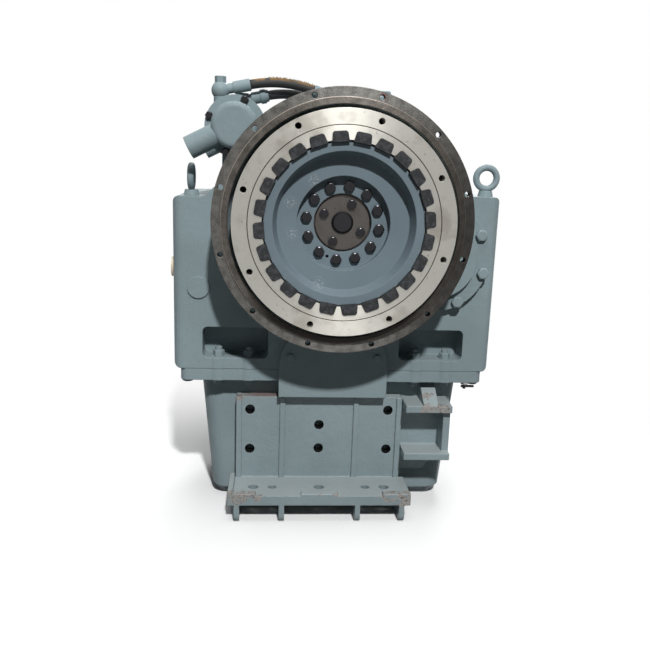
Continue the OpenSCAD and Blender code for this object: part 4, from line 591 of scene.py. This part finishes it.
# %% Primer and holes of the front bracket
bracket_top_z = -0.428
primer_brown = (0.17, 0.10, 0.09)
on_top = bracket.ramp(bracket.along("Z"), bracket_top_z - 0.0012, bracket_top_z - 0.0004)
primer = bracket.math("MULTIPLY", on_top, bracket.near((-0.150, 0.170, bracket_top_z), 0.09))
primed = bracket.mix(bracket.math("MULTIPLY", primer, 0.75), bracket.so_far(), primer_brown)
centres = []
for name, signs in (("bracket_plate_holes", (-1, 1)), ("bracket_middle_holes", (0,))):
    (x, _, z), dims = mount[name]["pos_m"], mount[name]["dims"]
    across, up = dims.get("spacing_x_mm", 0) / 2000, dims["spacing_y_mm"] / 2000
    centres += [(x + i * across, 0, z + k * up) for i in signs for k in (-1, 1)]
inside = bracket.in_holes(centres, dims["hole_r_mm"] / 1000)
# The walls of the bolt holes are painted dark as shade.
bracket.shine(Base_Color=bracket.mix(inside, primed, hole_shade_black))
bracket_paint, side_paint = bracket.material, side.material
print(len(centres), "dark holes in the front bracket")

# %% [markdown]
# ## Rounded castings
# The brackets, covers and blocks are rough castings whose edges and inner corners are
# round. A Bevel modifier on the CAD node would cut up its loose triangles. So a copy of
# the solid has its flat triangles joined again, and every long edge gets a fillet. Short
# edges belong to holes, which were drilled later and stay sharp.


# %% Fillets
def rounded_casting(node, radius, finish, shortest=0.0125, bend=math.radians(35)):
    """The node's solid with a fillet of one radius on each edge that is long and bends enough."""
    points, triangle = welded_corners(node)
    mesh = bpy.data.meshes.new(node + "_rounded")
    mesh.from_pydata(points.tolist(), [], triangle.tolist())
    solid = bmesh.new()
    solid.from_mesh(mesh)
    flat, crumb = math.radians(0.5), 2e-5
    bmesh.ops.dissolve_limit(solid, angle_limit=flat, verts=solid.verts[:], edges=solid.edges[:])
    long_edges = [e for e in solid.edges if e.calc_length() > shortest and e.calc_face_angle() > bend]
    bmesh.ops.bevel(solid, geom=long_edges, offset=radius, segments=3, profile=0.5, affect="EDGES")
    bmesh.ops.dissolve_degenerate(solid, edges=solid.edges, dist=crumb)
    bmesh.ops.recalc_face_normals(solid, faces=solid.faces)
    solid.to_mesh(mesh)
    solid.free()
    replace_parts(put_in_scene(mesh.name, mesh, "gearbox", finish, smooth=False), node)


# %% Castings with fillets
rounded_casting("front_bracket", 0.002, bracket_paint)
rounded_casting("side_bracket", 0.0015, side_paint)
rounded_casting("output_front_cover", 0.002, paint)
rounded_casting("inspection_cover", 0.002, paint)
rounded_casting("control_valve", 0.004, paint)
rounded_casting("cooler_saddles", 0.002, paint)
rounded_casting("oil_filter_head", 0.0025, paint)

# %% [markdown]
# ## Bell housing
# The bell housing is painted, but its flange face is machined bare and has gone brown: a
# finely grained outer band, a painted highlight along the step and a browner pilot ring
# inside it. Two places are smeared with red marking paint, the right side and the low part
# of the pilot ring are painted darker as shade, and the walls of the bolt holes are painted
# dark as shade. The face could be a material of its own on some faces, but a limit in depth
# needs no change to the CAD mesh.

# %% Bare face
pilot_r = mount["bell_housing_pilot"]["dims"]["r_mm"] / 1000
bell = casting_finish("bell_housing_paint_and_bare_face")
fine = bell.math("MULTIPLY", bell.noise(620.0, 3.0), 0.6)
broad = bell.math("MULTIPLY", bell.noise(60.0, 4.0), 0.4)
grain = bell.ramp(bell.math("ADD", fine, broad), 0.36, 0.64)
outer_band = bell.mix(grain, (0.060, 0.058, 0.054), (0.170, 0.164, 0.152))
pilot_ring = bell.mix(grain, (0.054, 0.048, 0.042), (0.138, 0.126, 0.112))
from_step = bell.math("SUBTRACT", bell.radius(), pilot_r)
on_pilot = bell.ramp(from_step, -0.0002, 0.0002, 1.0, 0.0)
bare = bell.mix(on_pilot, outer_band, pilot_ring)
# A painted highlight along the pilot's step.
painted_step_highlight = bell.ramp(bell.math("ABSOLUTE", from_step), 0.0004, 0.0011, 0.55, 0.0)
bare = bell.mix(painted_step_highlight, bare, (0.42, 0.36, 0.31))
print("bare face, with the pilot's step at radius", round(pilot_r, 4))

# %% Red smears and painted shade
marking_red, painted_shade_brown = (0.24, 0.03, 0.02), (0.016, 0.013, 0.012)
red_places = [
    ((-0.2385, 0, -0.006), 0.007), ((-0.238, 0, -0.016), 0.009),
    ((-0.237, 0, -0.026), 0.007), ((0.069, 0, 0.257), 0.009),
]
red = bell.math("MULTIPLY", bell.nearest(red_places), 0.75)
bare = bell.mix(red, bare, marking_red)
# The right side is painted darker as shade, and the low part of the pilot ring as painted shadow.
right_and_down = (2.3, 0.0, -0.6)
rightward = bell.vector("DOT_PRODUCT", bell.here, right_and_down, 1)
stain_and_painted_shade = bell.ramp(rightward, 0.1, 0.75, 0.0, 0.82)
painted_low_shadow = bell.math("MULTIPLY", on_pilot, bell.ramp(bell.along("Z"), -0.21, -0.13, 0.92, 0.0))
bare = bell.mix(bell.math("MAXIMUM", stain_and_painted_shade, painted_low_shadow), bare, painted_shade_brown)
print(len(red_places), "spots of red make two smears")

# %% Bolt holes and the limit of the bare face
face_depth = 0.0012
holes = mount["bell_flange_holes"]["dims"]
a = (np.arange(holes["count"]) + 0.5) * 2 * np.pi / holes["count"]
centres = np.stack([np.cos(a), 0 * a, np.sin(a)], axis=1) * holes["pcd_mm"] / 2000
inside = bell.in_holes(centres.tolist(), holes["hole_r_mm"] / 1000)
# The walls of the bolt holes are painted dark as shade.
painted = bell.mix(inside, bell.so_far(), hole_shade_black)
front = bell.ramp(bell.along("Y"), face_depth, face_depth + 0.0005, 1.0, 0.0)
bell.shine(Base_Color=bell.mix(front, painted, bare), Metallic=bell.math("MULTIPLY", front, 0.6))
bell.turned()
bell_finish = bell.material
print(len(centres), "dark bolt holes in the bell housing")

# %% [markdown]
# ## Turned steel
# The drive ring is freshly turned, so fine rings run round it, with finger marks and
# specks of rust. Modelled grooves would be far too many. Noise that depends on the radius
# alone draws the rings, and a radial tangent stretches the highlights across them, as on
# real turned steel. The brown plate on the shaft's end is the same finish in other tones.


# %% Steel from the lathe
def turned_steel(name, colour, stain_and_painted_shade, roughness=0.4, metal=0.75, marks=2600.0):
    """Bare steel with a lathe's fine rings: noise that depends on the radius alone."""
    f = Finish(name, Metallic=metal)
    rings = f.node("ShaderNodeTexNoise", noise_dimensions="1D")
    f.feed(rings.inputs["W"], f.math("MULTIPLY", f.radius(), marks))
    f.feed(rings.inputs["Detail"], 3.0)
    tone = f.mix(f.ramp(rings.outputs[0], 0.3, 0.7), np.array(colour) * 0.94, np.array(colour) * 1.05)
    smear = f.ramp(f.noise(16.0, 9.0), 0.52, 0.68, 0.0, 0.45)
    specks = f.ramp(f.noise(150.0, 5.0), 0.64, 0.72, 0.0, 0.7)
    tone = f.mix(f.math("MAXIMUM", smear, specks), tone, stain_and_painted_shade)
    shade = f.ramp(f.noise(40.0, 4.0), 0.3, 0.7, roughness - 0.06, roughness + 0.08)
    f.shine(Base_Color=tone, Roughness=shade)
    f.shine(Normal=f.bump(rings.outputs[0], 0.00005, f.soft_edges(0.0008)))
    return f


machined = turned_steel("machined_steel", (0.5, 0.48, 0.45), (0.32, 0.29, 0.25)).material
print("machined steel")

# %% Drive ring and end plate
groove_r, boss_r = 0.2005, 0.0235
ring = turned_steel("turned_ring_steel", (0.40, 0.389, 0.355), (0.20, 0.175, 0.145), 0.44, 0.85)
ring.turned()
from_groove = ring.math("ABSOLUTE", ring.math("SUBTRACT", ring.radius(), groove_r))
# The dark line at the groove is painted shade.
painted_groove_shade = ring.ramp(from_groove, 0.0007, 0.0013, 0.9, 0.0)
ring.shine(Base_Color=ring.mix(painted_groove_shade, ring.so_far(), (0.06, 0.045, 0.035)))
ring_steel = ring.material
plate = turned_steel("brown_end_plate", (0.072, 0.065, 0.059), (0.036, 0.031, 0.028), 0.5, 0.6)
off_boss = plate.ramp(plate.radius(), boss_r, boss_r + 0.0005)
plate.shine(Base_Color=plate.mix(off_boss, (0.012, 0.012, 0.014), plate.so_far()))
end_plate = plate.material
print("groove of the ring at", groove_r, "and boss of the plate at", boss_r)

# %% [markdown]
# ## Black screws, rubber and the oil window
# The coupling's screws are black oxide whose corners are painted bright, as worn steel and as a painted
# highlight, which the edge pattern finds.
# Its rubber blocks are matt, a little grey with dust, and darker round their rims. The
# window is a pale plastic disc. Flat colours would do from afar, but these pieces lie in
# the middle of the picture, so each gets a pattern.

# %% Black oxide
black = Finish("black_oxide_screws", Metallic=0.8, Roughness=0.24)
black_round = black.soft_edges(0.0012)
# Corners are painted bright, as worn steel and as a painted highlight.
worn_edges_and_glints = black.math("ADD", black.edge(black_round), black.math("MULTIPLY", black.noise(200.0), 0.12))
black_tone = black.mix(black.ramp(worn_edges_and_glints, 0.1, 0.3), (0.022, 0.022, 0.025), (0.42, 0.42, 0.43))
black.shine(Base_Color=black_tone, Normal=black_round)
black_oxide = black.material
print("black oxide")

# %% Block rubber and oil window
clean_rubber, dusty_rubber, rim_rubber = (0.016, 0.017, 0.019), (0.040, 0.042, 0.046), (0.010, 0.010, 0.012)
block = Finish("block_rubber", Roughness=0.7, Specular_IOR_Level=0.25)
block_round = block.soft_edges(0.0022)
rim = block.ramp(block.edge(block_round), 0.01, 0.12, 0.0, 0.8)
dusty = block.mix(block.ramp(block.noise(120.0, 6.0), 0.42, 0.62), clean_rubber, dusty_rubber)
block.shine(Base_Color=block.mix(rim, dusty, rim_rubber))
block.shine(Normal=block.bump(block.noise(260.0, 4.0), 0.0005, block_round))
block_rubber = block.material
glass = Finish("oil_window", Roughness=0.25, Coat_Weight=0.4)
glass.shine(Base_Color=glass.mix(glass.noise(60.0), (0.66, 0.60, 0.46), (0.5, 0.42, 0.28)))
oil_window = glass.material
print("block rubber and oil window")

# %% [markdown]
# ## Screws
# The CAD screws are plain hexagons. Real heads are turned off at 25 degrees on top, which
# leaves an arc on each flat. Copies of one modelled screw could be set in place by hand,
# but here each screw is worked out from its own CAD solid: its farthest corners are the
# head, and its narrow end gives the shank.


# %% Points round a screw's line
def about(centre, axis, across, height):
    """Points at two distances across and a height along a line in Y (axis 1) or Z (axis 2)."""
    first, second, high = np.broadcast_arrays(*across, height)
    point = np.zeros(first.shape + (3,))
    flat = [k for k in range(3) if k != axis]
    point[..., flat[0]] = centre[0] + first
    point[..., flat[1]] = centre[1] + second
    point[..., axis] = high
    return point


# %% Screw heads and shanks
head_slope = math.tan(math.radians(25))
head_top = 0.82  # radius of a head's flat top, as a share of half its width
shank_chamfer = 0.12  # as a share of the shank's radius


def screw(points, axis, columns=36):
    """Hexagon r(a) = half flat / cos(a mod 60 - 30), cut by a 25 degree cone, on a chamfered shank."""
    flat = [k for k in range(3) if k != axis]
    t, across = points[:, axis], points[:, flat]
    centre = (across.min(axis=0) + across.max(axis=0)) / 2
    r = np.hypot(*(across - centre).T)
    corners = r > 0.985 * r.max()
    start = np.arctan2(*(across[corners][0] - centre)[::-1])
    a = np.linspace(0, 2 * np.pi, columns, endpoint=False)
    half = r.max() * math.cos(math.pi / 6)
    hexagon = half / np.cos(np.mod(a, np.pi / 3) - np.pi / 6)
    stations = np.unique(np.round(t[corners], 4))
    heads = stations.reshape(-1, 2)
    bare_ends = [e for e in (t.min(), t.max()) if np.abs(stations - e).min() > 2e-4]
    shank = r[np.abs(t - bare_ends[0]) < 2e-5].max()
    low = t.min() if t.min() in bare_ends else heads[0].mean()
    high = t.max() if t.max() in bare_ends else heads[-1].mean()
    middle = (low + high) / 2
    cos, sin = np.cos(a + start), np.sin(a + start)
    cone = head_top * half
    grids = []
    for pair in heads:
        inner, outer = sorted(pair, key=lambda e: abs(e - middle))
        shoulder = outer + math.copysign(head_slope, inner - outer) * (hexagon - cone)
        rr = np.array([0 * a, hexagon, hexagon, 0 * a + cone, 0 * a])
        tt = np.array([0 * a + inner, 0 * a + inner, shoulder, 0 * a + outer, 0 * a + outer])
        grids.append(about(centre, axis, (rr * cos, rr * sin), tt)[None])
    bevel = shank_chamfer * shank
    rr = np.array([0, shank - bevel, shank, shank, shank - bevel, 0])[:, None]
    tt = np.array([low, low, low + bevel, high - bevel, high, high])[:, None]
    grids.append(about(centre, axis, (rr * cos, rr * sin), tt + 0 * cos)[None])
    return grids


# %% Screws in place
def dress_screws(node, body, finish):
    """Every screw of a node, each along its longest side."""
    grids = [g for solid in solids_of(node) for g in screw(solid, int(np.ptp(solid, axis=0).argmax()))]
    made = piece(node + "_turned", grids, body, finish, smooth=False)
    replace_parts(made, node)


for node in ("spider_bolts", "end_plate_bolts"):
    dress_screws(node, "input", black_oxide)
dress_screws("cooler_cap_bolts", "gearbox", black_oxide)
for node in ("bell_housing_bolts", "casing_joint_studs", "casing_joint_bolts", "cover_bolts"):
    dress_screws(node, "gearbox", fitting_paint)

# %% [markdown]
# ## Finishes on the CAD nodes
# Every CAD node now gets its finish, also those inside the casing and those that a finer
# piece replaces. A table from finish to nodes is shorter than a call for each, and it
# shows at a glance what is painted, bare or rubber.

# %% Which finish goes where
by_finish = {
    bell_finish: ["bell_housing"],
    casing_paint: ["upper_casing", "lower_casing"],
    paint: [
        "output_front_cover", "input_front_cover", "input_rear_cover", "oil_pump", "output_rear_cover",
        "inspection_cover", "control_valve", "oil_filter_head", "cooler_saddles", "core_plug",
        "cooler_front_cap", "cooler_rear_cap",
    ],
    fitting_paint: [
        "bell_housing_bolts", "casing_joint_studs", "casing_joint_bolts", "cover_bolts", "breather",
        "oil_filter_bowl", "cooler_shell", "cooler_oil_fittings", "hose_ferrules", "hose_clamp",
        "lifting_eye_left", "lifting_eye_right",
    ],
    bracket_paint: ["front_bracket"],
    side_paint: ["side_bracket"],
    spider_paint: ["coupling_spider"],
    ring_steel: ["drive_ring"],
    machined: [
        "bearing_outer_races", "drain_cock", "input_shaft", "input_gear", "ahead_pinion",
        "input_bearing_races", "reverse_shaft", "reverse_gear", "reverse_bearing_races",
        "reverse_pinion", "output_gear", "output_shaft", "output_flange", "output_bearing_races",
        "control_lever",
    ],
    end_plate: ["coupling_hub", "shaft_end_plate"],
    black_oxide: [
        "drain_plug", "spider_bolts", "end_plate_bolts", "cooler_cap_bolts", "ahead_clutch_drum",
        "reverse_clutch_drum", "drain_cock_handle",
    ],
    block_rubber: ["rubber_blocks"],
    hose_rubber: ["upper_hose", "lower_hose", "oil_seals"],
    oil_window: ["sight_glass"],
}
for finish, names in by_finish.items():
    for name in names:
        for material_slot in cad[name].material_slots:
            material_slot.material = finish
print(sum(len(n) for n in by_finish.values()), "of", len(cad), "nodes have a finish")

# %% [markdown]
# ## Floor
# A pale floor lies under the sump and catches its shadow. A white floor would also throw
# light up into the dark parts, so the light that it sends back is kept low, while rays from
# the camera and from mirrors see it pale. It fades into plain white away from the object,
# so only the object's shadow is left.

# %% Floor
floor_z = cad_box[0][2]
floor_half = 8.0
floor_grey, bounce_grey = (0.92, 0.92, 0.92), (0.10, 0.10, 0.10)
corner = np.array([[-1, -1], [1, -1], [1, 1], [-1, 1]]) * floor_half
floor_mesh = bpy.data.meshes.new("floor")
floor_mesh.from_pydata([(x, y, floor_z) for x, y in corner], [], [(0, 1, 2, 3)])
pale = Finish("pale_floor", Roughness=0.9)
direct = pale.seen_directly()
pale.shine(Base_Color=pale.mix(direct, bounce_grey, floor_grey))
distance = pale.vector("DISTANCE", pale.here, (0.0, 0.25, floor_z), 1)
far = pale.math("MULTIPLY", pale.ramp(distance, 0.45, 1.25), direct)
white = pale.node("ShaderNodeEmission")
blend = pale.node("ShaderNodeMixShader")
for socket, value in zip(blend.inputs, (far, pale.shader.outputs[0], white.outputs[0])):
    pale.feed(socket, value)
pale.feed(pale.tree.nodes["Material Output"].inputs["Surface"], blend.outputs[0])
floor_mesh.materials.append(pale.material)
floor = bpy.data.objects.new("floor", floor_mesh)
bpy.context.scene.collection.objects.link(floor)
print("floor at", round(floor_z, 3))

# %% [markdown]
# ## Light
# The gearbox stands in hard sun. A sun lamp would do, but a small square lamp far off and
# to the upper right also gives the shadows their narrow soft border: the bell housing
# throws a round shadow on the cover below it. Three weak lamps and a faint sky fill the
# rest, and rays from the camera and from mirrors see the sky plain white.


# %% Lamps
def soft_light(name, at, target, size, power):
    """A square lamp at a place, turned to face the target."""
    lamp = bpy.data.lights.new(name, "AREA")
    lamp.size = size
    lamp.energy = power
    made = bpy.data.objects.new(name, lamp)
    back = np.array(at) - np.array(target)
    back = back / np.linalg.norm(back)
    across = np.cross([0, 0, 1], back)
    across = across / np.linalg.norm(across)
    stand = np.eye(4)
    stand[:3, 0], stand[:3, 1], stand[:3, 2], stand[:3, 3] = across, np.cross(back, across), back, at
    made.matrix_world = Matrix(stand.tolist())
    bpy.context.scene.collection.objects.link(made)
    print(name, power, "W")


middle = (0.0, 0.2, -0.15)
soft_light("key", at=(0.60, -6.0, 5.55), target=middle, size=0.38, power=745)
soft_light("left_fill", at=(-3.0, -1.6, 1.2), target=middle, size=2.0, power=3)
soft_light("overhead", at=(0.0, -0.4, 3.2), target=(0.0, 0.1, -0.3), size=1.6, power=50)
soft_light("back_fill", at=(0.6, 3.4, 1.8), target=middle, size=2.0, power=85)

# %% Sky
sky_level = 0.03
sky = bpy.data.worlds.new("studio_sky")
bpy.context.scene.world = sky
sky.use_nodes = True
sky_nodes = Nodes(sky.node_tree)
background = sky.node_tree.nodes["Background"]
sky_nodes.feed(background.inputs["Color"], (1, 1, 1))
strength = sky_nodes.ramp(sky_nodes.seen_directly(), 0.0, 1.0, sky_level, 1.0)
sky_nodes.feed(background.inputs["Strength"], strength)
print("white sky that lights at", sky_level)

# %% [markdown] ## Size and finish The visual model keeps to the CAD model's box, apart
# from the loose threads.
